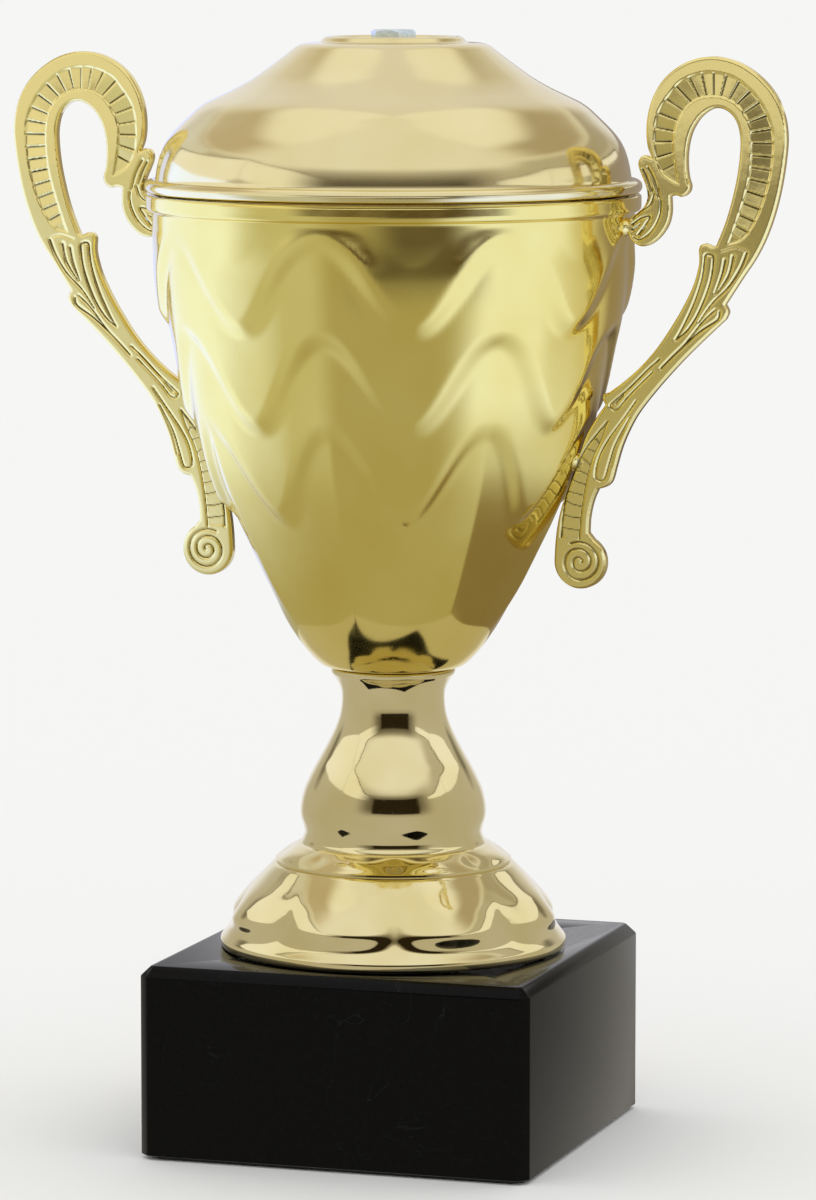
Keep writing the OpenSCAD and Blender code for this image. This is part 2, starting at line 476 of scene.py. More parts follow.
def add(tree: bpy.types.NodeTree, kind: str, values: dict | None = None, links: dict | None = None,
        **settings: object) -> bpy.types.Node:
    """Adds a node to a tree, with its settings and links.

    Args:
        tree: The tree.
        kind: Type of the node, without its "ShaderNode" front.
        values: Values of its inputs, by name or number.
        links: Sockets that feed its inputs, by name or number.
        settings: Settings of the node itself.

    Returns:
        The node.
    """
    node = tree.nodes.new("ShaderNode" + kind)
    for name, value in settings.items():
        setattr(node, name, value)
    for name, value in (values or {}).items():
        node.inputs[name].default_value = value
    for name, socket in (links or {}).items():
        tree.links.new(socket, node.inputs[name])
    return node


def per_mm(size: float) -> float:
    """Scale of a pattern whose features are this many mm apart."""
    return 1 / (size * MM)


def noise(tree: bpy.types.NodeTree, place: bpy.types.NodeSocket, size: float, detail: float,
          **more: float) -> bpy.types.NodeSocket:
    """Adds a noise.

    Args:
        tree: The tree.
        place: Where it is read, in metres.
        size: Distance between its features, in mm.
        detail: How many finer noises lie over it.
        more: Its other inputs, by their names in lower case.

    Returns:
        Its value.
    """
    values = {"Scale": per_mm(size), "Detail": detail} | {name.title(): value for name, value in more.items()}
    return add(tree, "TexNoise", values, {"Vector": place}).outputs["Fac"]


def reckon(tree: bpy.types.NodeTree, operation: str,
           *terms: float | bpy.types.NodeSocket) -> bpy.types.NodeSocket:
    """Adds a sum.

    Args:
        tree: The tree.
        operation: What it does, such as "MULTIPLY".
        terms: Its terms, each a number or a socket.

    Returns:
        Its result.
    """
    values = {k: term for k, term in enumerate(terms) if isinstance(term, float)}
    links = {k: term for k, term in enumerate(terms) if not isinstance(term, float)}
    return add(tree, "Math", values, links, operation=operation).outputs["Value"]


def remap(tree: bpy.types.NodeTree, value: bpy.types.NodeSocket, source: Point, target: Point = (0.0, 1.0),
          kind: str = "LINEAR") -> bpy.types.NodeSocket:
    """Maps a value from one range to another and stops it at the ends.

    Args:
        tree: The tree.
        value: The value.
        source: The range that it comes from.
        target: The range that it goes to.
        kind: How it runs between the ends.

    Returns:
        The mapped value.
    """
    ends = {"From Min": source[0], "From Max": source[1], "To Min": target[0], "To Max": target[1]}
    return add(tree, "MapRange", ends, {"Value": value}, interpolation_type=kind).outputs["Result"]


def blend(tree: bpy.types.NodeTree, factor: bpy.types.NodeSocket, low: str, high: str,
          stops: Point = (0.0, 1.0)) -> bpy.types.NodeSocket:
    """Blends from one colour to another.

    Args:
        tree: The tree.
        factor: What it follows.
        low: Hex code of the colour at the first stop.
        high: Hex code of the colour at the second stop.
        stops: Where the two colours are reached.

    Returns:
        The colour.
    """
    node = add(tree, "ValToRGB", links={"Fac": factor})
    for element, stop, code in zip(node.color_ramp.elements, stops, (low, high)):
        element.position, element.color = stop, linear(code)
    return node.outputs["Color"]


@dataclass(frozen=True)
class Finish:
    """A surface as its maker would name it. Each kind adds the detail that its process leaves."""

    name: str
    colour: str
    roughness: float

    def material(self) -> bpy.types.Material:
        """Gives the finish's material, made once for all of its pieces."""
        known = bpy.data.materials.get(self.name)
        if known:
            return known
        made = bpy.data.materials.new(self.name)
        made.use_nodes = True
        tree = made.node_tree
        tree.nodes.clear()
        shader = add(tree, "BsdfPrincipled")
        add(tree, "OutputMaterial", links={"Surface": shader.outputs["BSDF"]})
        shader.inputs["Base Color"].default_value = linear(self.colour)
        shader.inputs["Roughness"].default_value = self.roughness
        place = add(tree, "TexCoord").outputs["Object"]
        self.detail(tree, shader, place)
        return made

    def detail(self, tree: bpy.types.NodeTree, shader: bpy.types.Node, place: bpy.types.NodeSocket) -> None:
        """Adds the marks of the process.

        Args:
            tree: The material's tree.
            shader: Its shader.
            place: Object coordinates, in metres.
        """
        raise NotImplementedError

    def dulled(self, tree: bpy.types.NodeTree, shader: bpy.types.Node, marks: bpy.types.NodeSocket,
               source: Point, growth: float) -> None:
        """Roughens the finish where it is marked.

        Args:
            tree: The material's tree.
            shader: Its shader.
            marks: How strong the marks are.
            source: The strengths at which the growth starts and ends.
            growth: How much rougher the strongest marks are.
        """
        rough = remap(tree, marks, source, (self.roughness, self.roughness + growth))
        tree.links.new(rough, shader.inputs["Roughness"])

    def bumped(self, tree: bpy.types.NodeTree, shader: bpy.types.Node,
               *layers: tuple[bpy.types.NodeSocket, float, float]) -> None:
        """Lays bumps over each other.

        Args:
            tree: The material's tree.
            shader: Its shader.
            layers: Height, strength and depth in mm of each layer.
        """
        normal = {}
        for height, strength, depth in layers:
            values = {"Strength": strength, "Distance": depth * MM}
            bump = add(tree, "Bump", values, {"Height": height} | normal)
            normal = {"Normal": bump.outputs["Normal"]}
        tree.links.new(normal["Normal"], shader.inputs["Normal"])


@dataclass(frozen=True)
class PlatedMetal(Finish):
    """Drawn or spun brass, polished and gold-plated.

    Buffing leaves fine turned lines, the bath leaves faint clouds of colour, and handling leaves smears.
    """

    shade: str
    line_spacing: float = 0.35
    line_depth: float = 0.006
    smear: float = 0.05

    def detail(self, tree: bpy.types.NodeTree, shader: bpy.types.Node, place: bpy.types.NodeSocket) -> None:
        """Adds clouds of colour, smears, turned lines and soft waviness."""
        shader.inputs["Metallic"].default_value = 1.0
        colour = blend(tree, noise(tree, place, 28, 3.0), self.shade, self.colour, (0.3, 0.7))
        tree.links.new(colour, shader.inputs["Base Color"])
        wiped = add(tree, "Mapping", {"Scale": (1.0, 1.0, 3.0)}, {"Vector": place}).outputs["Vector"]
        self.dulled(tree, shader, noise(tree, wiped, 9, 5.0, roughness=0.6), (0.35, 0.75), self.smear)
        split = add(tree, "SeparateXYZ", links={"Vector": place})
        flat = add(tree, "CombineXYZ", links={"X": split.outputs["X"], "Y": split.outputs["Y"]})
        radius = add(tree, "VectorMath", links={0: flat.outputs["Vector"]}, operation="LENGTH")
        lathe = add(tree, "CombineXYZ", links={"X": radius.outputs["Value"], "Z": split.outputs["Z"]})
        lines = noise(tree, lathe.outputs["Vector"], self.line_spacing, 2.0)
        waves = noise(tree, place, 14, 1.0)
        self.bumped(tree, shader, (lines, 0.25, self.line_depth), (waves, 0.25, 0.12))


@dataclass(frozen=True)
class PlatedCasting(Finish):
    """Zinc casting with a gold flash. Its skin keeps the mould's grain, and its hollows are darkened with
    painted shade.
    """

    # Colour of the painted shade that darkens the hollows.
    painted_shade: str
    grain: float = 0.35

    def detail(self, tree: bpy.types.NodeTree, shader: bpy.types.Node, place: bpy.types.NodeSocket) -> None:
        """Darkens the hollows with painted shade and dulls them, and adds the cast grain and small pits."""
        shader.inputs["Metallic"].default_value = 1.0
        # Painted shade: the stored attribute blends the hollows and the feet of the channel's steps towards a
        # dark brown.
        hollow_shade = add(tree, "Attribute", attribute_name="hollow_shade").outputs["Fac"]
        uneven = remap(tree, noise(tree, place, 6, 4.0), (0.3, 0.7), (0.75, 1.15))
        painted_shade_share = reckon(tree, "MULTIPLY", hollow_shade, uneven)
        colour = blend(tree, painted_shade_share, self.colour, self.painted_shade, (0.12, 0.95))
        tree.links.new(colour, shader.inputs["Base Color"])
        self.dulled(tree, shader, painted_shade_share, (0.0, 1.0), 0.2)
        skin = noise(tree, place, self.grain, 3.0, roughness=0.6)
        flow = noise(tree, place, 3.5, 2.0)
        self.bumped(tree, shader, (skin, 0.15, 0.02), (flow, 0.25, 0.12))


@dataclass(frozen=True)
class MetallisedPlastic(Finish):
    """Moulded ABS, vacuum-metallised and lacquered gold. It mirrors cleanly, with soft mould ripples."""

    shade: str

    def detail(self, tree: bpy.types.NodeTree, shader: bpy.types.Node, place: bpy.types.NodeSocket) -> None:
        """Adds pools of lacquer, specks of dust under it, and ripples."""
        shader.inputs["Metallic"].default_value = 1.0
        shader.inputs["Coat Weight"].default_value = 0.3
        shader.inputs["Coat Roughness"].default_value = 0.03
        colour = blend(tree, noise(tree, place, 18, 2.0), self.shade, self.colour, (0.32, 0.68))
        tree.links.new(colour, shader.inputs["Base Color"])
        self.dulled(tree, shader, noise(tree, place, 0.6, 2.0), (0.6, 0.8), 0.12)
        self.bumped(tree, shader, (noise(tree, place, 9, 1.5), 0.3, 0.1))


@dataclass(frozen=True)
class ZincPlate(Finish):
    """Turned steel with bright zinc plate. It is blue-white, with fine tool lines and a crystalline bloom."""

    bloom: str

    def detail(self, tree: bpy.types.NodeTree, shader: bpy.types.Node, place: bpy.types.NodeSocket) -> None:
        """Adds the bloom, dull patches and tool lines."""
        shader.inputs["Metallic"].default_value = 1.0
        crystal = add(tree, "TexVoronoi", {"Scale": per_mm(0.8)}, {"Vector": place}).outputs["Distance"]
        tree.links.new(blend(tree, crystal, self.colour, self.bloom), shader.inputs["Base Color"])
        self.dulled(tree, shader, noise(tree, place, 1.6, 4.0), (0.35, 0.7), 0.2)
        self.bumped(tree, shader, (noise(tree, place, 0.3, 2.0), 0.4, 0.03))


@dataclass(frozen=True)
class PolishedMarble(Finish):
    """Black marble, sawn, honed and polished. Grey flecks and a few hair-fine veins lie in the black."""

    fleck: str
    vein: str

    def detail(self, tree: bpy.types.NodeTree, shader: bpy.types.Node, place: bpy.types.NodeSocket) -> None:
        """Adds flecks, veins, and the faint pull of the polishing wheel."""
        shader.inputs["Specular IOR Level"].default_value = 0.1
        grain = noise(tree, place, 1.1, 6.0, roughness=0.7)
        body = blend(tree, grain, self.colour, self.fleck, (0.55, 0.82))
        warp = noise(tree, place, 30, 5.0, distortion=1.4)
        away = reckon(tree, "ABSOLUTE", reckon(tree, "SUBTRACT", warp, 0.5))
        line = remap(tree, away, (0.0, 0.006), (0.5, 0.0))
        here = remap(tree, noise(tree, place, 22, 2.0), (0.52, 0.62))
        share = reckon(tree, "MULTIPLY", line, here)
        mixed = add(tree, "Mix", {"B": linear(self.vein)}, {"Factor": share, "A": body}, data_type="RGBA")
        tree.links.new(mixed.outputs["Result"], shader.inputs["Base Color"])
        self.dulled(tree, shader, grain, (0.3, 0.7), 0.08)
        self.bumped(tree, shader, (noise(tree, place, 7, 2.0), 0.2, 0.03))


@dataclass(frozen=True)
class NeedledFelt(Finish):
    """Needled polyester felt. Matted fibres give a soft sheen and a fuzzy, uneven face."""

    fibre: str

    def detail(self, tree: bpy.types.NodeTree, shader: bpy.types.Node, place: bpy.types.NodeSocket) -> None:
        """Adds matted fibres and pilling."""
        shader.inputs["Sheen Weight"].default_value = 0.35
        shader.inputs["Sheen Roughness"].default_value = 0.5
        lay = {"Scale": (1.0, 3.0, 1.0), "Rotation": (0.0, 0.0, 0.6)}
        laid = add(tree, "Mapping", lay, {"Vector": place})
        mat = noise(tree, laid.outputs["Vector"], 0.5, 6.0, distortion=1.0)
        tree.links.new(blend(tree, mat, self.colour, self.fibre, (0.35, 0.7)), shader.inputs["Base Color"])
        self.bumped(tree, shader, (mat, 0.8, 0.2))


# Deep-drawn brass cup, polished and plated in a warm gold bath.
CUP_GOLD = PlatedMetal("gold_plated_drawn_brass", "#ECDA86", 0.09, "#E4CE72")
# Spun brass lid from a paler bath than the cup's.
LID_GOLD = PlatedMetal("pale_gold_plated_spun_brass", "#EBDFB0", 0.09, "#E4D49C")
# Zinc handles, barrel-finished and flash-plated, with painted shade, a dark brown, in the hollows.
CAST_GOLD = PlatedCasting("gold_plated_zinc_casting", "#F0DE92", 0.16, "#3E3212")
# Foot and stem, moulded in ABS.
PLASTIC_GOLD = MetallisedPlastic("vacuum_metallised_plastic", "#ECE0B0", 0.06, "#E3D398")
# Rod, nuts, washers and screws.
ZINC = ZincPlate("bright_zinc_plate", "#C6D6DA", 0.22, "#E4ECEC")
# The block.
MARBLE = PolishedMarble("polished_black_marble", "#050505", 0.09, "#121214", "#242428")
# The sheet under the block.
FELT = NeedledFelt("needled_felt", "#0E0E0F", 0.95, "#26262A")


# ---------------------------------------------------------------- the block and its felt


@dataclass
class MarbleBlock:
    """Square block of black marble with cut top edges and corners, bored for the tie rod."""

    chamfer: float = 2.5
    arris: float = 0.3
    bore: float = 3.4
    pocket: float = 11.0
    pocket_roof: float = 15.0
    overrun: float = 1.0

    def build(self) -> None:
        """Makes the block and dresses the felt under it."""
        low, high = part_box("marble_base")
        bm = bmesh.new()
        bmesh.ops.create_cube(bm, size=1.0)
        bmesh.ops.scale(bm, vec=high - low, verts=bm.verts[:])
        bmesh.ops.translate(bm, vec=(low + high) / 2, verts=bm.verts[:])
        upright = [e for e in bm.edges if abs(e.verts[0].co.z - e.verts[1].co.z) > MM]
        bevelled(bm, upright, self.chamfer)
        top = [e for e in bm.edges if min(v.co.z for v in e.verts) > high.z - MM]
        bevelled(bm, top, self.chamfer)
        bevelled(bm, bm.edges[:], self.arris, 2)
        settled(bm)
        block = piece_from(bm, "marble_block", Edge.MACHINED)
        below, above = low.z / MM - self.overrun, high.z / MM + self.overrun
        bored(block, [self.drill(self.bore, below, above), self.drill(self.pocket, below, self.pocket_roof)])
        placed(block, Body.TROPHY, Slot.MARBLE, MARBLE, "marble_base")
        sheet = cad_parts["base_felt"]
        sheet.data.materials.clear()
        sheet.data.materials.append(FELT.material())
        LOG.info("base_felt: dressed")

    def drill(self, radius: float, low: float, high: float) -> bpy.types.Object:
        """Makes a drill up the axis.

        Args:
            radius: Radius, in mm.
            low: Height of its lower end, in mm.
            high: Height of its upper end, in mm.

        Returns:
            The drill.
        """
        bm = bmesh.new()
        bmesh.ops.create_cone(bm, cap_ends=True, segments=64, radius1=radius * MM, radius2=radius * MM,
                              depth=(high - low) * MM)
        bmesh.ops.translate(bm, verts=bm.verts[:], vec=(0, 0, (low + high) / 2 * MM))
        return piece_from(bm, "drill", Edge.MACHINED)


# ---------------------------------------------------------------- the foot and the stem


@dataclass
class Pedestal:
    """Bell foot with eight soft lobes and a baluster stem, both moulded hollow."""

    wall: float = 2.0
    bore: float = 3.4
    spigot: float = 19.6
    spacing: float = 0.5
    steps: int = 288
    stem_steps: int = 192
    lobes: int = 8
    crease_at: float = 18.4
    lobe_height: float = 3.0
    dip: float = 0.2
    bell_rise: Point = (52.4, 57.4)
    bell_fade: Point = (67.6, 56.0)
    bevel_share: float = 0.36
    bevel_rise: Point = (70.8, 71.6)
    bevel_fade: Point = (73.8, 72.8)
    skin: Point = (24.0, 25.5)
    foot_run: Run = ((43.3, 49.4), (43.35, 50), (43.2, 50.6), (42.6, 51.3), (41.8, 52.3), (41.0, 53.5),
                     (40.4, 54.9), (39.8, 56.7), (38.8, 58.6), (37.6, 60.6), (36.1, 62.8), (34.1, 65.1),
                     (32.1, 67.2), (30.2, 69.1))
    bevel_run: Run = ((29.5, 69.5), (29.65, 69.9), (29.5, 70.35), (29.0, 70.7), (28.4, 71.2), (27.4, 71.9),
                      (26.4, 72.6), (25.4, 73.25), (24.3, 73.9))
    stem_run: Run = ((23.3, 74.4), (22.6, 75.6), (22.2, 77), (22.5, 78.6), (23.1, 80.6), (23.25, 82.4),
                     (23, 84.8), (22.3, 87.6), (21.2, 90.2), (19.6, 93.4), (17.8, 96.6), (15.9, 100.2),
                     (14.4, 103.4), (13.3, 106.8), (12.9, 110), (13, 112.4), (13.6, 114.2), (14.5, 115.8),
                     (15.2, 116.7))

    def build(self) -> None:
        """Makes both mouldings."""
        self.foot()
        self.stem()

    def foot(self) -> None:
        """Makes the bell foot: a flange, the lobed bell, a lip and a lobed upper bevel."""
        low, high = node_span("foot")
        seat = node_span("stem")[0]
        bell = respaced(smooth(self.foot_run, 6), self.spacing)
        flange = [(42.8, low), (43.1, low + 0.1), (43.25, low + 0.4), (43.3, low + 0.8)]
        outer = np.vstack([flange, bell, self.bevel_run, (23.5, seat)])
        under = offset(outer, self.wall)
        under = under[(under[:, 1] < seat - self.wall - 0.5) & (under[:, 0] > 22)][::3]
        under = np.vstack([[(under[0][0], low)], under[under[:, 1] > low + 0.5]])
        roof = seat - self.wall - 0.4
        core = [(self.spigot, seat), (self.spigot, high), (self.bore, high), (self.bore, roof),
                (under[-1][0], roof)]
        bm = turned([*outer, *core, *under[::-1]], self.steps)
        piece = piece_from(bm, "moulded_bell_foot", Edge.TURNED)
        radial(piece, self.lobe)
        placed(piece, Body.TROPHY, Slot.PLASTIC, PLASTIC_GOLD, "foot")

    def lobe(self, azimuth: np.ndarray, z: np.ndarray, r: np.ndarray) -> np.ndarray:
        """Swells the bell into pillows that meet at creases.

        Args:
            azimuth: Azimuth from the front, in radians.
            z: Height, in mm.
            r: Radius, in mm.

        Returns:
            The move away from the axis, in mm.
        """
        swing = np.abs(np.sin(self.lobes / 2 * (azimuth - math.radians(self.crease_at))))
        pillow = np.sqrt(swing**2 + 0.1**2) - 0.1
        bell = ramp(z, *self.bell_rise) * ramp(z, *self.bell_fade) * (pillow - self.dip)
        bevel = self.bevel_share * ramp(z, *self.bevel_rise) * ramp(z, *self.bevel_fade) * (pillow - 0.5)
        return self.lobe_height * (bell + bevel) * ramp(r, *self.skin)

    def stem(self) -> None:
        """Makes the baluster with its flange and the plate that closes it."""
        low, high = node_span("stem")
        outer = respaced(smooth(self.stem_run, 6), self.spacing)
        flange = [(15.45, 117.0), (15.55, 117.4), (15.5, 117.8), (15.3, 118.15), (15.0, high)]
        inner = offset(outer, self.wall)
        inner = inner[inner[:, 1] < high - self.wall - 0.5][::3]
        roof = high - self.wall - 0.5
        core = [(self.bore, high), (self.bore, roof), (inner[-1][0], roof)]
        rim = [(inner[0][0], low)]
        bm = turned([(23.2, low), *outer[1:], *flange, *core, *inner[1:][::-1], *rim], self.stem_steps)
        piece = piece_from(bm, "moulded_stem", Edge.TURNED)
        placed(piece, Body.TROPHY, Slot.PLASTIC, PLASTIC_GOLD, "stem")


# ---------------------------------------------------------------- the cup


@dataclass
class Bowl:
    """Drawn cup with three rows of pressed waves that overlap like shingles, and a folded collar."""

    wall: float = 0.8
    bore: float = 3.4
    spacing: float = 0.62
    inner_spacing: float = 1.1
    steps: int = 288
    waves: int = 8
    rows: tuple[float, ...] = (169.8, 192.5, 216.5)
    shares: tuple[float, ...] = (0.7, 1.0, 1.0)
    swing: float = 11.2
    press: float = 1.9
    drop: float = 5.8
    run_out: Point = (26.0, 16.0)
    facet: float = 1.8
    facet_lift: float = 0.3
    facet_edge: float = 3.0
    profile: Run = ((14.6, 118.3), (17.2, 118.9), (19, 120.1), (21.2, 122.4), (23.2, 125), (26.6, 130),
                    (29.7, 135), (32.6, 140), (35.2, 145), (37.7, 150), (40.2, 155), (42.6, 160),
                    (44.9, 165), (46.9, 170), (48.6, 175), (50.2, 180), (51.6, 185), (52.8, 190),
                    (53.9, 195), (55.1, 200), (56.6, 205), (57.8, 210), (58.7, 215), (59.3, 220),
                    (59.6, 226), (59.7, 231.4))
    collar: Run = ((59.75, 231.7), (59.95, 231.95), (60.4, 232.1), (60.85, 232.35), (61.15, 232.75),
                   (61.3, 233.3), (61.3, 233.7))
    rim_fade: Point = (231.2, 218.0)
    foot_fade: Point = (124.0, 136.0)
    facet_rise: Point = (124.0, 142.0)
    boss_clear: Point = (3.0, 7.0)

    def build(self) -> None:
        """Makes the cup."""
        low, top = node_span("cup_bowl")
        curve = smooth(self.profile, 6)
        outer = respaced(curve, self.spacing)
        inner = offset(respaced(curve, self.inner_spacing), self.wall)
        inner = inner[inner[:, 1] > low + self.wall + 0.3]
        collar = [*self.collar, (61.3, top - 0.9), (61.3, top - 0.6), (61.2, top - 0.25), (60.9, top),
                  (60.2, top), (59.5, top), (59.1, top - 0.15), (58.95, top - 0.5)]
        floor = [(14.0, low + self.wall), (9.0, low + self.wall), (self.bore, low + self.wall),
                 (self.bore, low), (9.0, low)]
        bm = turned([*outer, *collar, *inner[::-1], *floor], self.steps)
        piece = piece_from(bm, "drawn_cup", Edge.TURNED)
        radial(piece, self.relief)
        placed(piece, Body.TROPHY, Slot.CUP, CUP_GOLD, "cup_bowl")

    def relief(self, azimuth: np.ndarray, z: np.ndarray, r: np.ndarray) -> np.ndarray:
        """Presses the waves: each row stands proud at its lower edge and sinks under the row above.

        Args:
            azimuth: Azimuth from the front, in radians.
            z: Height, in mm.
            r: Radius, in mm.

        Returns:
            The move away from the axis, in mm.
        """
        # Each wave line is a cosine round the cup. Its steps are measured square to the line.
        wave = np.cos(self.waves * azimuth)
        slant = self.swing * self.waves * np.sin(self.waves * azimuth) / np.maximum(r, 10)
        level = z - self.swing * wave
        stair = sum(share * ramp((level - row) / np.hypot(1, slant) / self.drop, -0.5, 0.5)
                    for row, share in zip(self.rows, self.shares))
        # An even fall between the steps brings the wall back to its profile.
        low, middle, high = self.rows
        first, second, third = self.shares
        fall = np.interp(level, [low - self.run_out[0], low, middle, high, high + self.run_out[1]],
                         [0.0, first / 2, first + second / 2, first + second + third / 2, sum(self.shares)])
        shape = self.press * (stair - fall)
        # Under the lowest row the wall is flat from trough to trough.
        side = math.pi / self.waves
        turn = np.mod(azimuth, 2 * side) - side
        sag = (1 / np.cos(turn) - 1) / (1 / math.cos(side) - 1) - 1
        below = ramp(level, low + self.facet_edge, low - self.facet_edge)
        facets = self.facet * (sag + self.facet_lift) * ramp(z, *self.facet_rise) * below
        fade = ramp(z, *self.rim_fade) * ramp(z, *self.foot_fade)
        for radius, height, _ in FIXINGS:
            across = np.minimum(np.abs(azimuth - math.pi / 2), np.abs(azimuth + math.pi / 2)) * radius
            fade *= ramp(np.hypot(across, z - height), *self.boss_clear)
        return (shape + facets) * fade


# ---------------------------------------------------------------- the lid


@dataclass
class Lid:
    """Spun dome with a dished top, a raised ring round it, a rolled bead and a pressed locating ring."""

    wall: float = 0.8
    steps: int = 216
    bead: float = 1.7
    bead_radius: float = 61.5
    spacing: float = 0.6
    dome: Run = ((17.9, 273.7), (19, 273.5), (20.6, 273.4), (22.2, 273.2), (23.8, 272.6), (25.4, 271.4),
                 (28.4, 269.1), (31.4, 266.9), (34.4, 264.8), (37.1, 263.2), (40, 261.7), (43, 260.3),
                 (46.1, 258.8), (48.3, 257.3), (50.6, 255.2), (53, 252.9), (55, 250.7), (56.6, 248.3),
                 (57.7, 245.6), (58.4, 242.8), (58.8, 240.4))
    dish: Run = ((3.4, 271.4), (8.0, 271.4), (10.6, 271.4), (11.6, 271.5), (12.6, 272.0), (13.5, 273.0),
                 (14.2, 274.1), (15.0, 274.8), (15.8, 275.0), (16.6, 274.9), (17.2, 274.6), (17.6, 274.1))

    def build(self) -> None:
        """Makes the dome and its locating ring."""
        low = node_span("lid_shell")[0]
        outer = respaced(np.vstack([smooth(self.dish, 3), smooth(self.dome, 5)]), self.spacing)
        inner = offset(outer, -self.wall)[::2]
        centre = (self.bead_radius - self.bead, low + self.bead)
        roll = [(centre[0] + self.bead * math.cos(a), centre[1] + self.bead * math.sin(a))
                for a in np.radians(np.linspace(86, -90, 19))]
        rim = [(59.3, low + 0.02), (58.6, low + 0.2), (58.1, low + 0.8)]
        bm = turned([*outer, (58.95, 239.95), *roll, *rim, *inner[::-1]], self.steps)
        dome = piece_from(bm, "spun_lid", Edge.TURNED)
        placed(dome, Body.LID, Slot.LID, LID_GOLD, "lid_shell")
        low, high = node_span("lid_locating_ring")
        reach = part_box("lid_locating_ring")[1].x / MM
        ring = [(reach - 0.9, low + 0.1), (reach - 0.6, low), (reach - 0.25, low + 0.5),
                (reach - 0.05, low + 1.4), (reach, low + 2.5), (reach, high - 0.2), (reach - 0.2, high),
                (reach - 0.7, high), (reach - self.wall, high - 0.2), (reach - self.wall, low + 2.5),
                (reach - 0.95, low + 1.2)]
        bm = turned(ring, 160)
        piece = piece_from(bm, "pressed_locating_ring", Edge.TURNED)
        placed(piece, Body.LID, Slot.LID, LID_GOLD, "lid_locating_ring")


# ---------------------------------------------------------------- the handles


@dataclass(frozen=True)
class Groove:
    """A line chased into the face of a handle."""

    run: Run
    width: float = 0.34
    end_width: float = 0.24
    depth: float = 0.42


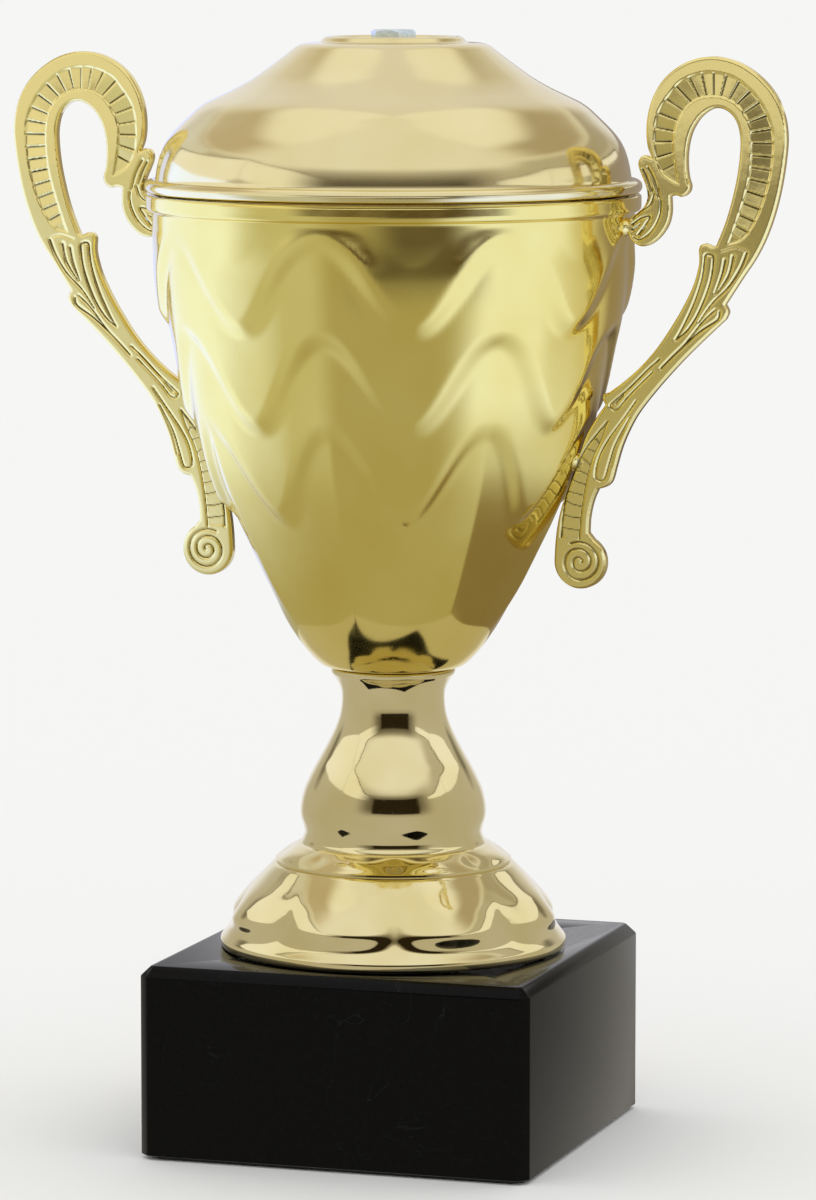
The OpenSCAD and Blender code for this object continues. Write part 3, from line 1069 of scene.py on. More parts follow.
@dataclass
class ScrollHandle:
    """Cast S-scroll: a plate with rounded edges, a stepped channel round its loop, leaves and a volute."""

    thickness: float = 3.4
    rounding: float = 0.7
    grid: float = 0.26
    outline_steps: int = 8
    channel_depth: float = 0.5
    neck: Run = ((50.8, 153.7), (51, 157.5), (51.9, 161.6), (53.2, 164.6))
    lower_leaf: Run = ((53.2, 164.6), (55.2, 165.2), (56.7, 166.7), (57.8, 170.5), (59.2, 175.2),
                       (61.2, 179.8), (63.8, 184.2), (68.6, 190.2), (74.6, 196.8), (80.4, 202.5),
                       (85.2, 207))
    upper_leaf: Run = ((85.2, 207), (85.9, 208.8), (85.1, 210.6))
    loop: Run = ((85.1, 210.6), (89.4, 217.2), (92.5, 221.8), (94.9, 226.4), (96.8, 231.4), (98.2, 236.4),
                 (99.2, 241.4), (99.9, 246.4), (100.2, 251), (99.7, 255.4), (98.3, 259.6), (95.9, 263.4),
                 (92.3, 266.8), (87.8, 269.4), (82.8, 270.6), (77.8, 270.2), (73.2, 268.3), (69.4, 265.2),
                 (66.9, 261.4), (65.5, 257.2), (65, 253), (65.3, 249), (66.4, 245.9))
    hook: Run = ((66.4, 245.9), (65.6, 246.4), (64.2, 246.5), (63.2, 245.4), (63.1, 243.8), (63.9, 241.6),
                 (65, 239), (65.4, 236.4), (64.6, 234.2), (62.9, 232.6), (61.2, 231.4), (60.5, 229.6),
                 (60.7, 227.2), (61.9, 225.4), (63.9, 224.4), (66.2, 224.9), (68.6, 226.8), (70.5, 229.6),
                 (71.3, 232.8), (71.2, 236.6))
    beak: Run = ((71.2, 236.6), (72.6, 236.9), (74.2, 236.6), (75.7, 237.6), (76.2, 239.2), (75.6, 241.4),
                 (75.3, 244), (75.3, 247), (75.8, 250.4), (76.9, 253.4), (79, 256.3), (82, 258.1),
                 (85, 257.7), (87.4, 255.3), (88.5, 251.5), (88.5, 247), (87.8, 241.5), (86.6, 236),
                 (85, 230.5), (82.8, 225))
    inner: Run = ((82.8, 225), (81.8, 224.7), (80.5, 225.3), (79.1, 225.1), (78.4, 223.8), (78.5, 221.8),
                  (78.3, 219.5), (77, 215), (74.5, 209.8), (71.4, 204.6), (67.8, 199.4), (63.7, 194.8),
                  (59.4, 191), (55.8, 188.4))
    cup_side: Run = ((55.8, 188.4), (54.6, 188), (54.3, 186.8), (55, 185.4))
    foot: Run = ((55, 185.4), (52.7, 182.2), (50.4, 178.4), (48.6, 173.6), (47, 168.8), (45.3, 164),
                 (43.8, 159.6), (42.8, 155), (42.3, 150.6), (42.1, 146.6))
    volute_centre: Point = (48.7, 146.4)
    volute_radius: float = 6.6
    channel_outer: Run = ((73.6, 239.4), (71.4, 240.4), (69.2, 242.1), (67.5, 245.4), (66.9, 249.5),
                          (67.2, 254.7), (68.4, 258.4), (70.8, 261.8), (73.2, 264.6), (76.5, 266.3),
                          (79.9, 267.1), (83.7, 266.9), (87.5, 265.7), (90.9, 263.2), (93.8, 260),
                          (96.0, 255.9), (97.0, 252.3), (97.1, 248.1), (96.4, 242.1), (94.8, 236),
                          (92.6, 230.6), (89.4, 226.3), (85.4, 224.9))
    channel_inner: Run = ((85.4, 224.9), (86.6, 228.2), (87.7, 231.3), (89.2, 235.9), (90.6, 241.5),
                          (91.2, 247.1), (91.1, 251.7), (90.2, 255.4), (87.6, 258.9), (83.7, 260.7),
                          (79.4, 260.6), (76.1, 258.9), (73.6, 255.6), (72.3, 252.2), (72.2, 248.2),
                          (72.7, 244.2), (73.6, 239.4))
    ribs: Run = ((72.2, 244.2), (71.0, 246.8), (70.4, 249.7), (70.6, 252.5), (71.3, 255.4), (72.6, 258.3),
                 (74.6, 260.9), (77.0, 262.9), (79.4, 263.8), (81.7, 264.1), (84.3, 263.9), (87.0, 262.9),
                 (89.4, 261.2), (91.4, 258.7), (93.0, 256.0), (93.8, 253.1), (94.1, 250.1), (94.0, 247.0),
                 (93.7, 244.0), (93.2, 241.0), (92.5, 237.9), (91.5, 234.9), (90.4, 232.0), (89.2, 229.3),
                 (87.9, 227.0))
    ladder_cup: Run = ((55.6, 181.2), (52.8, 177.9), (49.6, 173.6), (47, 167.9), (45.2, 162.7), (44.3, 157),
                       (44.0, 152.4))
    ladder_outer: Run = ((48.5, 152), (49.1, 158.8), (50.2, 165.7), (51.7, 171.7), (54, 176.8),
                         (55.6, 181.2))
    rungs: Run = ((53, 176.9), (51.6, 174.2), (50.1, 171.6), (48.9, 168.9), (48.0, 166.2), (47.3, 163.5),
                  (46.8, 160.7), (46.4, 157.6), (46.2, 154.6))
    grooves: tuple[Groove, ...] = (
        Groove(((84.2, 223.6), (87.7, 224.6), (90.3, 223.9)), 0.2, 0.2, 0.2),
        Groove(((90.5, 223.3), (88.9, 219.5), (86, 215), (82, 211), (78.6, 206.2)), 0.4, 0.2),
        Groove(((87.1, 222.3), (86, 217.8), (82.9, 213)), 0.5, 0.2),
        Groove(((85.1, 221.4), (84.3, 217.8), (82.6, 213.3)), 0.5, 0.2),
        Groove(((80.0, 222.2), (80.5, 222.8), (81.7, 222.6), (82.2, 221.6), (81.4, 216), (78.6, 208.7),
                (75.7, 204.2), (72.8, 201.8)), 0.36, 0.3),
        Groove(((80.0, 222.2), (79.4, 217.1), (77.4, 210.9), (74.5, 204.7), (72.8, 201.8)), 0.3, 0.3),
        Groove(((83.8, 208.8), (83.2, 206.8), (78.6, 203.7), (72.8, 198.5), (69.1, 194.7)), 0.4, 0.3),
        Groove(((82.9, 209.4), (79.7, 206.5), (75.1, 200.8), (69.1, 194.7)), 0.3, 0.26),
        Groove(((68.8, 197), (65.9, 194.4), (61.3, 189.8), (57.2, 186.3), (56.3, 185.2), (57.2, 184.3),
                (58.6, 184.9), (61.3, 188.1), (67.1, 193.8)), 0.26, 0.24),
        Groove(((57.8, 185.9), (59.8, 188)), 0.34, 0.2),
        Groove(((63, 186.7), (59.5, 181.8), (56.1, 177.2), (53.6, 172.6), (52.6, 168.0), (53.6, 166.8),
                (54.9, 167.2), (56.1, 171), (57.8, 176.1), (61.3, 182.4)), 0.26, 0.24),
        Groove(((60.4, 180.2), (58.0, 175.2), (56.6, 170.2)), 0.2, 0.26, 0.3),
        Groove(((64.3, 243.2), (65.4, 241), (66.7, 237.6)), 0.42, 0.24),
        Groove(((65.6, 243.6), (67.3, 240.4), (68.5, 236.4)), 0.42, 0.24),
        Groove(((67.2, 237.3), (66.1, 234.5), (63.4, 232.6), (61.8, 231.0)), 0.28, 0.24),
        Groove(((61.6, 229.6), (63.8, 231.2), (66.2, 231.7), (64.9, 229.5), (63.2, 227.2)), 0.34, 0.34),
        Groove(((61.8, 228.4), (63.9, 229.9)), 0.34, 0.2),
        Groove(((62.0, 226.6), (63.4, 226.0), (65.2, 226.9), (67.3, 229.2), (68.8, 232.7), (68.9, 235.8)),
               0.26, 0.24))
    rail: Groove = Groove((), 0.3, 0.3, 0.45)
    stile: Groove = Groove((), 0.26, 0.26, 0.36)
    rung: Groove = Groove((), 0.26, 0.26, 0.4)
    spiral: Groove = Groove((), 0.3, 0.26, 0.42)
    ladder_depth: float = 0.22
    waist: float = 0.75
    boss: float = 2.0

    def build(self) -> None:
        """Makes the right-hand handle and its twin, turned half round."""
        plate = self.plate()
        for side, node in (("right", "handle_right"), ("left", "handle_left")):
            bm = plate.copy()
            for fixing in FIXINGS:
                joined(bm, self.fixing_boss(*fixing))
            if side == "left":
                half_turn = Matrix.Rotation(math.pi, 3, "Z")
                bmesh.ops.rotate(bm, verts=bm.verts[:], cent=(0, 0, 0), matrix=half_turn)
            piece = piece_from(bm, f"cast_handle_{side}", Edge.RELIEF)
            self.store_hollow_shade(piece, side)
            placed(piece, Body.TROPHY, Slot.CASTING, CAST_GOLD, node)
        plate.free()

    def runs(self) -> tuple[Run, ...]:
        """Gives the stretches of the outline, which meet at sharp corners."""
        return (self.neck, self.lower_leaf, self.upper_leaf, self.loop, self.hook, self.beak, self.inner,
                self.cup_side, self.foot)

    def outline(self) -> np.ndarray:
        """Gives the closed outline of the plate, in mm from the axis and in height."""
        turn = np.radians(np.linspace(178, 418, 49))
        volute = self.volute_centre + self.volute_radius * np.column_stack([np.cos(turn), np.sin(turn)])
        return np.vstack([smooth(run, self.outline_steps)[:-1] for run in self.runs()] + [volute])

    def plate(self) -> bmesh.types.BMesh:
        """Makes the plate with its relief on both faces.

        A fine grid is trimmed to the outline, thickened, and its faces are moved by the relief.

        Returns:
            The plate.
        """
        outline = self.outline()
        low, high = outline.min(0), outline.max(0)
        size = high - low
        cells = np.ceil(size / self.grid).astype(int)
        bm = bmesh.new()
        bmesh.ops.create_grid(bm, x_segments=int(cells[0]), y_segments=int(cells[1]), size=0.5)
        bmesh.ops.scale(bm, vec=(size[0] * MM, size[1] * MM, 1), verts=bm.verts[:])
        bmesh.ops.rotate(bm, verts=bm.verts[:], cent=(0, 0, 0), matrix=Matrix.Rotation(math.pi / 2, 3, "X"))
        middle = (low + high) / 2
        place = Vector((middle[0], self.thickness / 2, middle[1])) * MM
        bmesh.ops.translate(bm, verts=bm.verts[:], vec=place)
        centres = np.array([f.calc_center_median() for f in bm.faces])[:, ::2] / MM
        within = inside(centres, outline)
        outside = [face for face, keep in zip(bm.faces[:], within) if not keep]
        bmesh.ops.delete(bm, geom=outside, context="FACES")
        self.trim(bm, outline)
        geom = bm.verts[:] + bm.edges[:] + bm.faces[:]
        made = bmesh.ops.extrude_face_region(bm, geom=geom, use_keep_orig=True)
        moved = [item for item in made["geom"] if isinstance(item, bmesh.types.BMVert)]
        bmesh.ops.translate(bm, verts=moved, vec=(0, -self.thickness * MM, 0))
        for level in (-self.waist, self.waist):
            geom = bm.verts[:] + bm.edges[:] + bm.faces[:]
            bmesh.ops.bisect_plane(bm, geom=geom, dist=1e-7, plane_co=(0, level * MM, 0), plane_no=(0, 1, 0))
        bmesh.ops.recalc_face_normals(bm, faces=bm.faces[:])
        self.press(bm, outline)
        return bm

    def trim(self, bm: bmesh.types.BMesh, outline: np.ndarray) -> None:
        """Pulls the ragged rim of the grid onto the outline and evens out the cells next to it.

        Args:
            bm: The grid.
            outline: The outline, in mm.
        """
        rim = [v for v in bm.verts if v.is_boundary]
        closed = np.vstack([outline, outline[:1]])
        for _ in range(2):
            at = np.array([v.co for v in rim])[:, ::2] / MM
            for v, place in zip(rim, nearest(at, closed)[2]):
                v.co.x, v.co.z = place * MM
            ring = {w for v in rim for e in v.link_edges for w in e.verts}
            ring |= {w for v in ring for e in v.link_edges for w in e.verts}
            loose = [v for v in ring if not v.is_boundary]
            bmesh.ops.smooth_vert(bm, verts=loose, factor=0.5, use_axis_x=True, use_axis_z=True)
            bmesh.ops.smooth_vert(bm, verts=rim, factor=0.5, use_axis_x=True, use_axis_z=True)
        at = np.array([v.co for v in rim])[:, ::2] / MM
        for v, place in zip(rim, nearest(at, closed)[2]):
            v.co.x, v.co.z = place * MM
        taken = set()
        for corner in (run[0] for run in self.runs()):
            gap = [math.hypot(v.co.x / MM - corner[0], v.co.z / MM - corner[1]) for v in rim]
            k = min((k for k in range(len(rim)) if k not in taken), key=gap.__getitem__)
            taken.add(k)
            rim[k].co.x, rim[k].co.z = corner[0] * MM, corner[1] * MM

    def press(self, bm: bmesh.types.BMesh, outline: np.ndarray) -> None:
        """Moves both faces of the plate by the relief.

        Args:
            bm: The plate.
            outline: The outline, in mm.
        """
        co = np.array([v.co for v in bm.verts]) / MM
        face = np.abs(np.abs(co[:, 1]) - self.thickness / 2) < 1e-3
        rise = np.zeros(len(co))
        rise[face] = self.relief(co[face][:, ::2], outline)
        for v, lift in zip(bm.verts, np.sign(co[:, 1]) * rise):
            v.co.y += lift * MM

    def relief(self, at: np.ndarray, outline: np.ndarray) -> np.ndarray:
        """Gives the height of the relief over the plate's flat face.

        Args:
            at: Points of the face, in mm.
            outline: The outline, in mm.

        Returns:
            The height at each point, in mm.
        """
        closed = np.vstack([outline, outline[:1]])
        edge = nearest(at, closed)[0]
        inset = np.clip(self.rounding - edge, 0, self.rounding)
        rounded = self.rounding - np.sqrt(self.rounding**2 - inset**2)
        return -rounded - self.hollows(at)[0]

    def hollows(self, at: np.ndarray) -> tuple[np.ndarray, np.ndarray]:
        """Gives the depth of the channels and grooves, and the painted shade laid in them.

        Args:
            at: Points of the face, in mm.

        Returns:
            The depth at each point, in mm, and the painted shade, from 0 to 1.
        """
        depth, painted_shade = self.stepped_channel(at)
        cut = self.ladder(at)
        for groove in self.grooves:
            cut = np.maximum(cut, self.chased(at, smooth(groove.run, 5), groove))
        cut = np.maximum(cut, self.chased(at, self.volute(), self.spiral))
        # Grooves get painted shade as deep as they are cut.
        return np.maximum(depth, cut), np.maximum(painted_shade, ramp(cut, 0.2, 0.42))

    def chased(self, at: np.ndarray, line: np.ndarray, groove: Groove) -> np.ndarray:
        """Gives the depth of one groove.

        Args:
            at: Points of the face, in mm.
            line: Its centre line, in mm.
            groove: Its section.

        Returns:
            The depth at each point, in mm.
        """
        depth = np.zeros(len(at))
        reach = max(groove.width, groove.end_width) * 2
        near = ((at > line.min(0) - reach) & (at < line.max(0) + reach)).all(1)
        away, share, _ = nearest(at[near], line)
        half = groove.width + (groove.end_width - groove.width) * share
        depth[near] = groove.depth * np.exp(-((away / half) ** 2))
        return depth

    def volute(self) -> np.ndarray:
        """Gives the spiral line of the volute, from the ladder inwards."""
        turn = np.radians(np.linspace(118, 118 - 850, 150))
        radius = np.interp(np.linspace(0, 1, 150), [0, 0.25, 1], [5.1, 4.4, 0.5])
        return self.volute_centre + radius[:, None] * np.column_stack([np.cos(turn), np.sin(turn)])

    def stepped_channel(self, at: np.ndarray) -> tuple[np.ndarray, np.ndarray]:
        """Sinks the channel of the loop, whose floor is a row of tilted cells with a step between them.

        Args:
            at: Points of the face, in mm.

        Returns:
            The depth at each point, in mm, and the painted shade at the foot of each step, from 0 to 1.
        """
        outer, inner = smooth(self.channel_outer, 5), smooth(self.channel_inner, 5)
        ring = np.vstack([outer, inner[1:-1]])
        depth, painted_shade = np.zeros(len(at)), np.zeros(len(at))
        within = inside(at, ring)
        spots = at[within]
        wall = nearest(spots, np.vstack([ring, ring[:1]]))[0]
        spine = smooth(self.ribs, 6)
        knots = np.arange(len(self.ribs)) / (len(self.ribs) - 1)
        _, share, _ = nearest(spots, spine)
        places = nearest(np.array(self.ribs), spine)[1]
        cell = np.interp(share, places, knots) * (len(self.ribs) - 1)
        part = cell - np.floor(cell)
        past_end = (share <= 1e-4) | (share >= 1 - 1e-4)
        shallow, fall, lip = 0.3, 0.7, 0.3
        tilt = np.where(past_end, 0.3, part)
        step = ramp(part, 0.0, 0.16)
        floor = self.channel_depth * (shallow + fall * (1 - tilt) * step + lip * (1 - step))
        depth[within] = floor * ramp(wall, 0.0, 0.45)
        # Painted shade along the foot of each step.
        foot = ramp(part, 0.01, 0.06) * ramp(part, 0.24, 0.12)
        painted_shade[within] = np.where(past_end, 0.0, foot) * ramp(wall, 0.25, 0.7)
        return depth, painted_shade

    def ladder(self, at: np.ndarray) -> np.ndarray:
        """Sinks the ladder of the lower arm: two rails and the rungs between them.

        Args:
            at: Points of the face, in mm.

        Returns:
            The depth at each point, in mm.
        """
        cup, outer = smooth(self.ladder_cup, 5), smooth(self.ladder_outer, 5)
        ring = np.vstack([cup, outer[:-1]])
        depth = np.zeros(len(at))
        within = inside(at, ring)
        wall = nearest(at[within], np.vstack([ring, ring[:1]]))[0]
        depth[within] = self.ladder_depth * ramp(wall, 0.0, 0.4)
        depth = np.maximum(depth, self.chased(at, cup, self.rail))
        depth = np.maximum(depth, self.chased(at, outer, self.stile))
        lean = 0.6
        for x, z in self.rungs:
            left = cup[np.argmin(np.abs(cup[:, 1] - (z + lean)))]
            right = outer[np.argmin(np.abs(outer[:, 1] - (z - lean)))]
            depth = np.maximum(depth, self.chased(at, np.vstack([left, (x, z), right]), self.rung))
        return depth

    def store_hollow_shade(self, piece: bpy.types.Object, side: str) -> None:
        """Stores how much painted shade each corner gets, from 0 to 1.

        Args:
            piece: The handle.
            side: "left" or "right".
        """
        co = corners_of(piece)
        at = np.column_stack([co[:, 0] if side == "right" else -co[:, 0], co[:, 2]])
        face = np.abs(co[:, 1]) > 0.9
        value = np.zeros(len(co))
        value[face] = self.hollows(at[face])[1]
        # The attribute carries the painted shade of the hollows.
        layer = piece.data.attributes.new("hollow_shade", "FLOAT", "POINT")
        layer.data.foreach_set("value", value.astype(np.float32))

    def fixing_boss(self, radius: float, height: float, lean: float) -> bmesh.types.BMesh:
        """Makes the round boss that stands the handle off the cup.

        Args:
            radius: Distance of the cup's wall from the axis, in mm.
            height: Height on the wall, in mm.
            lean: How far the wall's normal points down, in degrees.

        Returns:
            The boss.
        """
        profile = [(0.0, -0.35), (self.boss + 0.35, -0.35), (self.boss + 0.3, 0.1), (self.boss, 0.5),
                   (self.boss - 0.2, 1.0), (self.boss - 0.2, 2.2), (0.0, 2.4)]
        bm = turned(profile, 32, closed=False)
        turn = math.radians(lean)
        return on_axis(bm, Vector((radius, 0, height)), Vector((math.cos(turn), 0, -math.sin(turn))))


# ---------------------------------------------------------------- screws, nuts, washers and the rod


@dataclass
class Fasteners:
    """Zinc-plated rod, nuts, washers and screws that hold the trophy together."""

    pitch: float = 1.0
    rod: float = 2.95
    flats: float = 10.0
    screw: float = 1.4
    screw_head: float = 2.7
    socket: float = 1.0
    socket_depth: float = 1.1
    lid_head: float = 4.0
    cup_wall: float = 0.8
    washer_gap: float = 0.2
    small_washer: float = 0.5
    pan_height: float = 1.8
    nuts: tuple[tuple[str, Body], ...] = (("base_nut", Body.TROPHY), ("cup_nut", Body.TROPHY),
                                          ("lid_nut", Body.LID))
    washers: tuple[tuple[str, Body, float], ...] = (("base_washer", Body.TROPHY, 9.0),
                                                    ("cup_washer", Body.TROPHY, 11.0),
                                                    ("lid_washer", Body.LID, 9.0))

    def build(self) -> None:
        """Makes all the fasteners."""
        low, high = node_span("tie_rod")
        rod = piece_from(threaded_rod(self.rod, self.pitch, low, high), "threaded_tie_rod", Edge.MACHINED)
        placed(rod, Body.TROPHY, Slot.ZINC, ZINC, "tie_rod")
        low, high = node_span("lid_bolt")
        bm = threaded_rod(self.rod, self.pitch, low + self.lid_head, high)
        joined(bm, hexagon(self.flats, low, low + self.lid_head, 1.0, (True, False)))
        placed(piece_from(bm, "lid_bolt_m6", Edge.MACHINED), Body.LID, Slot.ZINC, ZINC, "lid_bolt")
        for node, body in self.nuts:
            low, high = node_span(node)
            bm = hexagon(self.flats, low, high, self.rod + 0.06, (True, True))
            placed(piece_from(bm, f"{node}_m6", Edge.MACHINED), body, Slot.ZINC, ZINC, node)
        for node, body, radius in self.washers:
            low, high = node_span(node)
            bm = self.washer(radius, self.rod + 0.45, low, high)
            placed(piece_from(bm, f"{node}_m6", Edge.MACHINED), body, Slot.ZINC, ZINC, node)
        self.handle_fixings()

    def washer(self, radius: float, bore: float, low: float, high: float) -> bmesh.types.BMesh:
        """Makes a punched washer: its upper edge is rounded by the punch and its lower edge is sharp.

        Args:
            radius: Outer radius, in mm.
            bore: Radius of the hole, in mm.
            low: Height of the lower face, in mm.
            high: Height of the upper face, in mm.

        Returns:
            The washer.
        """
        soft = min(0.25, (high - low) / 3)
        profile = [(bore, low), (radius - 0.05, low), (radius, low + 0.05), (radius, high - soft),
                   (radius - 0.3 * soft, high - 0.3 * soft), (radius - soft, high), (bore + soft, high),
                   (bore + 0.3 * soft, high - 0.3 * soft), (bore, high - soft)]
        return turned(profile, 72)

    def handle_fixings(self) -> None:
        """Makes the four screws and their washers, inside the cup."""
        upper = -self.cup_wall - self.washer_gap
        lower = upper - self.small_washer
        screws, washers = bmesh.new(), bmesh.new()
        for half_turn in (0, 1):
            spin = Matrix.Rotation(math.pi * half_turn, 3, "Z")
            for radius, height, lean in FIXINGS:
                tilt = math.radians(lean)
                axis = spin @ Vector((math.cos(tilt), 0, -math.sin(tilt)))
                foot = spin @ Vector((radius, 0, height))
                joined(screws, on_axis(self.screw_shape(lower, self.pan_height), foot, axis))
                joined(washers, on_axis(self.washer(3.2, self.screw + 0.2, lower, upper), foot, axis))
        placed(piece_from(screws, "handle_screws_m3", Edge.MACHINED), Body.TROPHY, Slot.ZINC, ZINC,
               "handle_screws")
        placed(piece_from(washers, "handle_washers_m3", Edge.MACHINED), Body.TROPHY, Slot.ZINC, ZINC,
               "handle_washers")

    def open_edges(self, items: Sequence[object]) -> list[bmesh.types.BMEdge]:
        """Picks the edges among some items that have a face on one side only."""
        return [item for item in items if isinstance(item, bmesh.types.BMEdge) and item.is_boundary]

    def screw_shape(self, seat: float, head: float) -> bmesh.types.BMesh:
        """Makes one pan-head screw with a hexagonal socket, its shank along +Z.

        Args:
            seat: Height of the underside of its head, in mm.
            head: Height of the head, in mm.

        Returns:
            The screw.
        """
        low, r = seat - head, self.screw_head
        tip = 6.0
        profile = [(self.socket, low), (r - 0.9, low), (r - 0.45, low + 0.12), (r - 0.15, low + 0.4),
                   (r, low + 0.9), (r, seat), (self.screw, seat), (self.screw, tip - 0.5),
                   (self.screw - 0.4, tip), (0.0, tip)]
        bm = turned(profile, 48, closed=False)
        inner = 0.5 * self.socket * MM
        rim = [edge for edge in self.open_edges(bm.edges) if max(v.co.xy.length for v in edge.verts) > inner]
        made = bmesh.ops.extrude_edge_only(bm, edges=rim)["geom"]
        for v in (item for item in made if isinstance(item, bmesh.types.BMVert)):
            turn = math.atan2(v.co.y, v.co.x)
            reach = self.socket * 0.86 / math.cos((turn % (math.pi / 3)) - math.pi / 6)
            v.co.x, v.co.y = reach * math.cos(turn) * MM, reach * math.sin(turn) * MM
        made = bmesh.ops.extrude_edge_only(bm, edges=self.open_edges(made))["geom"]
        deep = [item for item in made if isinstance(item, bmesh.types.BMVert)]
        bmesh.ops.translate(bm, verts=deep, vec=(0, 0, self.socket_depth * MM))
        bmesh.ops.edgenet_fill(bm, edges=self.open_edges(made))
        return settled(bm)


# ---------------------------------------------------------------- the studio


@dataclass(frozen=True)
class SoftBox:
    """An area of a lit screen. Azimuths run to the right from the camera, in degrees.

    Its lower and upper limits are in mm at its first and last azimuth, and soften over the widths given.
    On the tent they are heights, and on the dish they are distances from the axis.
    """

    azimuth: tuple[float, float]
    low: tuple[float, float]
    high: tuple[float, float]
    light: float
    tint: str = "#FFFFFF"
    side: float = 3.0
    edge: float = 6.0


TENT_PANELS = (
    SoftBox((-180, 180), (0, 0), (0, 0), 0.56, "#FFF9EC"),
    SoftBox((-400, 400), (452, 452), (2000, 2000), 1.0, "#FFFFFF", 3.0, 60.0),
    SoftBox((-75, 62), (400, 400), (2000, 2000), 0.92, "#FFFFFF", 20.0, 90.0),
    SoftBox((-150, -108), (372, 372), (480, 480), 0.75, "#FFFFFF", 12.0, 10.0),
    SoftBox((112, 160), (345, 380), (450, 450), 0.47, "#FFF6E4", 6.0, 12.0),
    SoftBox((152, 400), (-10, -10), (2000, 2000), 0.9, "#FBFAFF", 16.0, 10.0),
    SoftBox((-400, -152), (-10, -10), (2000, 2000), 0.9, "#FBFAFF", 16.0, 10.0),
    SoftBox((-136, -124), (180, 180), (280, 280), 0.22, "#FFF6E4", 10.0, 60.0),
    SoftBox((129, 143), (170, 170), (270, 270), 0.22, "#FFF6E4", 10.0, 60.0),
    SoftBox((-133, -76), (214, 312), (371, 447), 0.16, "#FFE2B8", 1.0, 2.0),
    SoftBox((-76, -30), (312, 284), (447, 357), 0.16, "#FFE2B8", 1.0, 2.0),
    SoftBox((-132, -76), (216, 314), (366, 441), 1.0, "#FFFFFF", 2.0, 4.0),
    SoftBox((-76, -31), (314, 286), (441, 351), 1.0, "#FFFFFF", 2.0, 4.0),
    SoftBox((46, 78), (286, 300), (333, 368), 0.16, "#FFE2B8", 1.0, 2.0),
    SoftBox((78, 142), (300, 214), (368, 326), 0.16, "#FFE2B8", 1.0, 2.0),
    SoftBox((47, 78), (288, 301), (328, 362), 1.0, "#FFFFFF", 2.0, 4.0),
    SoftBox((78, 141), (301, 218), (362, 320), 1.0, "#FFFFFF", 2.0, 4.0),
    SoftBox((-41, 44), (150, 150), (376, 376), 0.16, "#FFF0D8", 26.0, 100.0),
    SoftBox((-27, 33), (150, 150), (327, 327), 0.025, "#FFD8A0", 5.0, 12.0),
    SoftBox((70, 150), (470, 470), (690, 690), 0.5, "#FFF0D8", 44.0, 90.0),
    SoftBox((-150, -82), (470, 470), (690, 690), 0.6, "#FFF0D8", 40.0, 90.0),
)
DISH_PANELS = (
    SoftBox((-180, 180), (0, 0), (0, 0), 0.48, "#FFFADA"),
    SoftBox((-66, -28), (80, 80), (900, 900), 0.68, "#FBFFFB", 22.0, 60.0),
    SoftBox((-180, -66), (72, 72), (900, 900), 2.1, "#BFCEFF", 24.0, 70.0),
    SoftBox((-400, -134), (60, 60), (900, 900), 1.3, "#D0D8FF", 26.0, 70.0),
    SoftBox((22, 180), (84, 104), (900, 900), 1.7, "#CCD8FF", 24.0, 80.0),
    SoftBox((82, 180), (80, 80), (900, 900), 0.74, "#FFFFF6", 16.0, 60.0),
    SoftBox((101, 400), (0, 0), (900, 900), 0.36, "#FFF0E4", 14.0, 60.0),
    SoftBox((116, 400), (76, 76), (130, 130), 0.12, "#FFE8E0", 10.0, 30.0),
    SoftBox((50, 112), (0, 0), (74, 74), 0.27, "#FFE8C0", 22.0, 34.0),
    SoftBox((-6, 30), (178, 190), (900, 900), 0.14, "#FFF0D0", 22.0, 76.0),
    SoftBox((-80, 22), (262, 262), (900, 900), 0.86, "#FFFFFF", 8.0, 20.0),
    SoftBox((-38, 46), (239, 239), (262, 262), 0.09, "#FFD0A0", 16.0, 6.0),
)


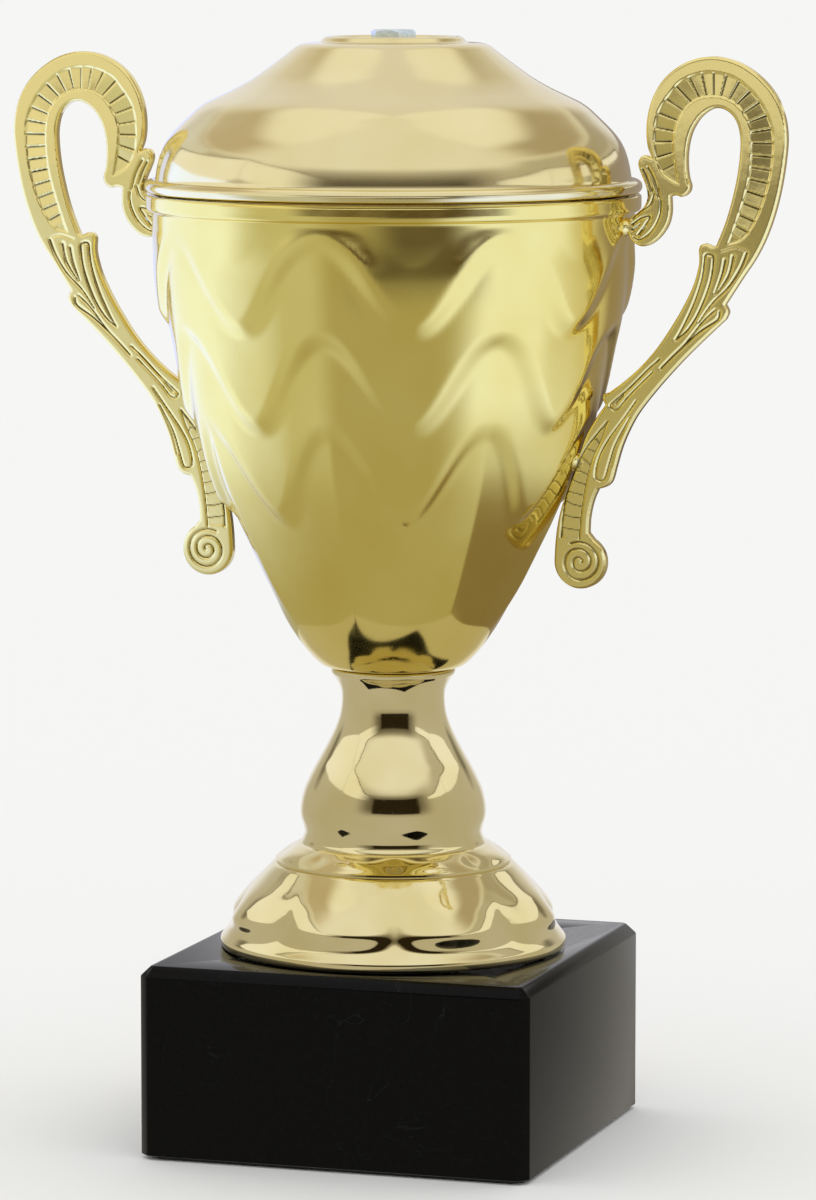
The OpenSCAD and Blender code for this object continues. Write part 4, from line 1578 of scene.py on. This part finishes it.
@dataclass
class Studio:
    """Plain pale floor, soft lit screens round the object, and the camera.

    The tent stands all round. The dish lies open side up round the stem, so that it lights what is above it.
    """

    floor_colour: str = "#F6F6F5"
    floor_reach: float = 40.0
    camera_azimuth: float = 17.97
    camera_dip: float = 6.836
    camera_place: tuple[float, float, float] = (0.4433, -1.3667, 0.3073)
    tent_run: Run = ((0, -3), (400, -3), (400, 560), (380, 640), (330, 710), (250, 765), (150, 795),
                     (0, 805))
    dish_run: Run = ((35, 119), (397, 300))

    def build(self) -> None:
        """Makes the floor, the tent, the room's even light and the camera."""
        self.floor()
        self.screen("light_tent", self.tent_run, TENT_PANELS, False)
        self.screen("light_dish", self.dish_run, DISH_PANELS, True)
        self.world()
        self.camera()

    def floor(self) -> None:
        """Lays the floor."""
        bm = bmesh.new()
        bmesh.ops.create_circle(bm, cap_ends=True, segments=96, radius=self.floor_reach)
        floor = piece_from(bm, "floor", Edge.MACHINED)
        paint = bpy.data.materials.new("matt_floor_paint")
        paint.use_nodes = True
        shader = paint.node_tree.nodes["Principled BSDF"]
        shader.inputs["Base Color"].default_value = linear(self.floor_colour)
        shader.inputs["Roughness"].default_value = 0.9
        shader.inputs["Specular IOR Level"].default_value = 0.0
        floor.data.materials.append(paint)
        floor.visible_glossy = False

    def screen(self, name: str, run: Run, panels: tuple[SoftBox, ...], open_up: bool) -> None:
        """Hangs a lit screen, which polished surfaces mirror and nothing else sees.

        Args:
            name: Its name.
            run: Its profile.
            panels: Its panels, each over the ones before it. The first one fills it.
            open_up: Whether it is a dish that lights only what is above it.
        """
        bm = turned(run, 96, closed=False)
        if sum(face.normal.z for face in bm.faces) < 0:
            bmesh.ops.reverse_faces(bm, faces=bm.faces[:])
        piece = piece_from(bm, name, Edge.RELIEF)
        cloth = bpy.data.materials.new(name + "_cloth")
        cloth.use_nodes = True
        tree = cloth.node_tree
        tree.nodes.clear()
        place = add(tree, "TexCoord").outputs["Object"]
        facing = add(tree, "VectorRotate", {"Angle": math.radians(-self.camera_azimuth)}, {"Vector": place},
                     rotation_type="Z_AXIS")
        split = add(tree, "SeparateXYZ", links={"Vector": facing.outputs["Vector"]})
        x, y, reach = split.outputs["X"], split.outputs["Y"], split.outputs["Z"]
        azimuth = reckon(tree, "DEGREES", reckon(tree, "ARCTAN2", x, reckon(tree, "MULTIPLY", y, -1.0)))
        if open_up:
            flat = add(tree, "CombineXYZ", links={"X": x, "Y": y})
            length = add(tree, "VectorMath", links={0: flat.outputs["Vector"]}, operation="LENGTH")
            reach = length.outputs["Value"]
        reach = reckon(tree, "MULTIPLY", reach, 1 / MM)
        seen = add(tree, "RGB").outputs["Color"]
        seen.default_value = self.lit(panels[0])
        for panel in panels[1:]:
            mixed = add(tree, "Mix", {"B": self.lit(panel)},
                        {"Factor": self.share(tree, panel, azimuth, reach), "A": seen}, data_type="RGBA")
            seen = mixed.outputs["Result"]
        glow = add(tree, "Emission", links={"Color": seen}).outputs["Emission"]
        if open_up:
            behind = add(tree, "NewGeometry").outputs["Backfacing"]
            clear = add(tree, "BsdfTransparent").outputs["BSDF"]
            glow = add(tree, "MixShader", links={0: behind, 1: glow, 2: clear}).outputs["Shader"]
        add(tree, "OutputMaterial", links={"Surface": glow})
        cloth.cycles.emission_sampling = "NONE"
        piece.data.materials.append(cloth)
        for ray in ("camera", "diffuse", "shadow", "transmission"):
            setattr(piece, f"visible_{ray}", False)

    def lit(self, panel: SoftBox) -> tuple[float, ...]:
        """Gives the light that a panel sends out, as red, green, blue and 1."""
        return *(panel.light * channel for channel in linear(panel.tint)[:3]), 1.0

    def share(self, tree: bpy.types.NodeTree, panel: SoftBox, azimuth: bpy.types.NodeSocket,
              reach: bpy.types.NodeSocket) -> bpy.types.NodeSocket:
        """Tells how much of a panel covers a place on a screen.

        Args:
            tree: The screen's nodes.
            panel: The panel.
            azimuth: The place's azimuth, in degrees.
            reach: Its height or its distance from the axis, in mm.

        Returns:
            The share, from 0 to 1.
        """
        start, end = panel.azimuth
        whole = (0.0, 1.0)
        parts = []
        for limit, sign in ((start, 1), (end, -1)):
            if abs(limit) <= 180:
                half = sign * panel.side / 2
                parts.append(remap(tree, azimuth, (limit - half, limit + half), whole, "SMOOTHSTEP"))
        for ends, sign in ((panel.low, 1), (panel.high, -1)):
            half = sign * panel.edge / 2
            past = reckon(tree, "SUBTRACT", reach, remap(tree, azimuth, panel.azimuth, ends))
            parts.append(remap(tree, past, (-half, half), whole, "SMOOTHSTEP"))
        total = parts[0]
        for part in parts[1:]:
            total = reckon(tree, "MULTIPLY", total, part)
        return total

    def world(self) -> None:
        """Lights matt surfaces evenly. Polished ones see the tent instead."""
        world = bpy.data.worlds.new("even_room_light")
        bpy.context.scene.world = world
        world.use_nodes = True
        tree = world.node_tree
        tree.nodes.clear()
        even = add(tree, "Background", {"Color": linear("#FFFFFF"), "Strength": 1.0})
        add(tree, "OutputWorld", links={"Surface": even.outputs["Background"]})
        world.cycles_visibility.glossy = False

    def camera(self) -> None:
        """Places the camera a little above the cup and to the right of the block's front face."""
        lens = bpy.data.cameras.new("studio_camera")
        lens.sensor_width, lens.sensor_fit, lens.lens = 36.0, "AUTO", 174.2
        lens.clip_start, lens.clip_end = 0.05, 200.0
        lens.shift_x = 0.0121
        camera = bpy.data.objects.new("studio_camera", lens)
        bpy.context.scene.collection.objects.link(camera)
        camera.location = self.camera_place
        camera.rotation_euler = (math.radians(90 - self.camera_dip), 0.0, math.radians(self.camera_azimuth))
        bpy.context.scene.camera = camera


def main() -> None:
    """Builds the trophy and the studio."""
    logging.basicConfig(level=logging.INFO, format="%(message)s")
    bpy.context.scene.view_settings.view_transform = "Standard"
    Studio().build()
    MarbleBlock().build()
    Pedestal().build()
    Bowl().build()
    ScrollHandle().build()
    Lid().build()
    Fasteners().build()


if __name__ == "__main__":
    main()
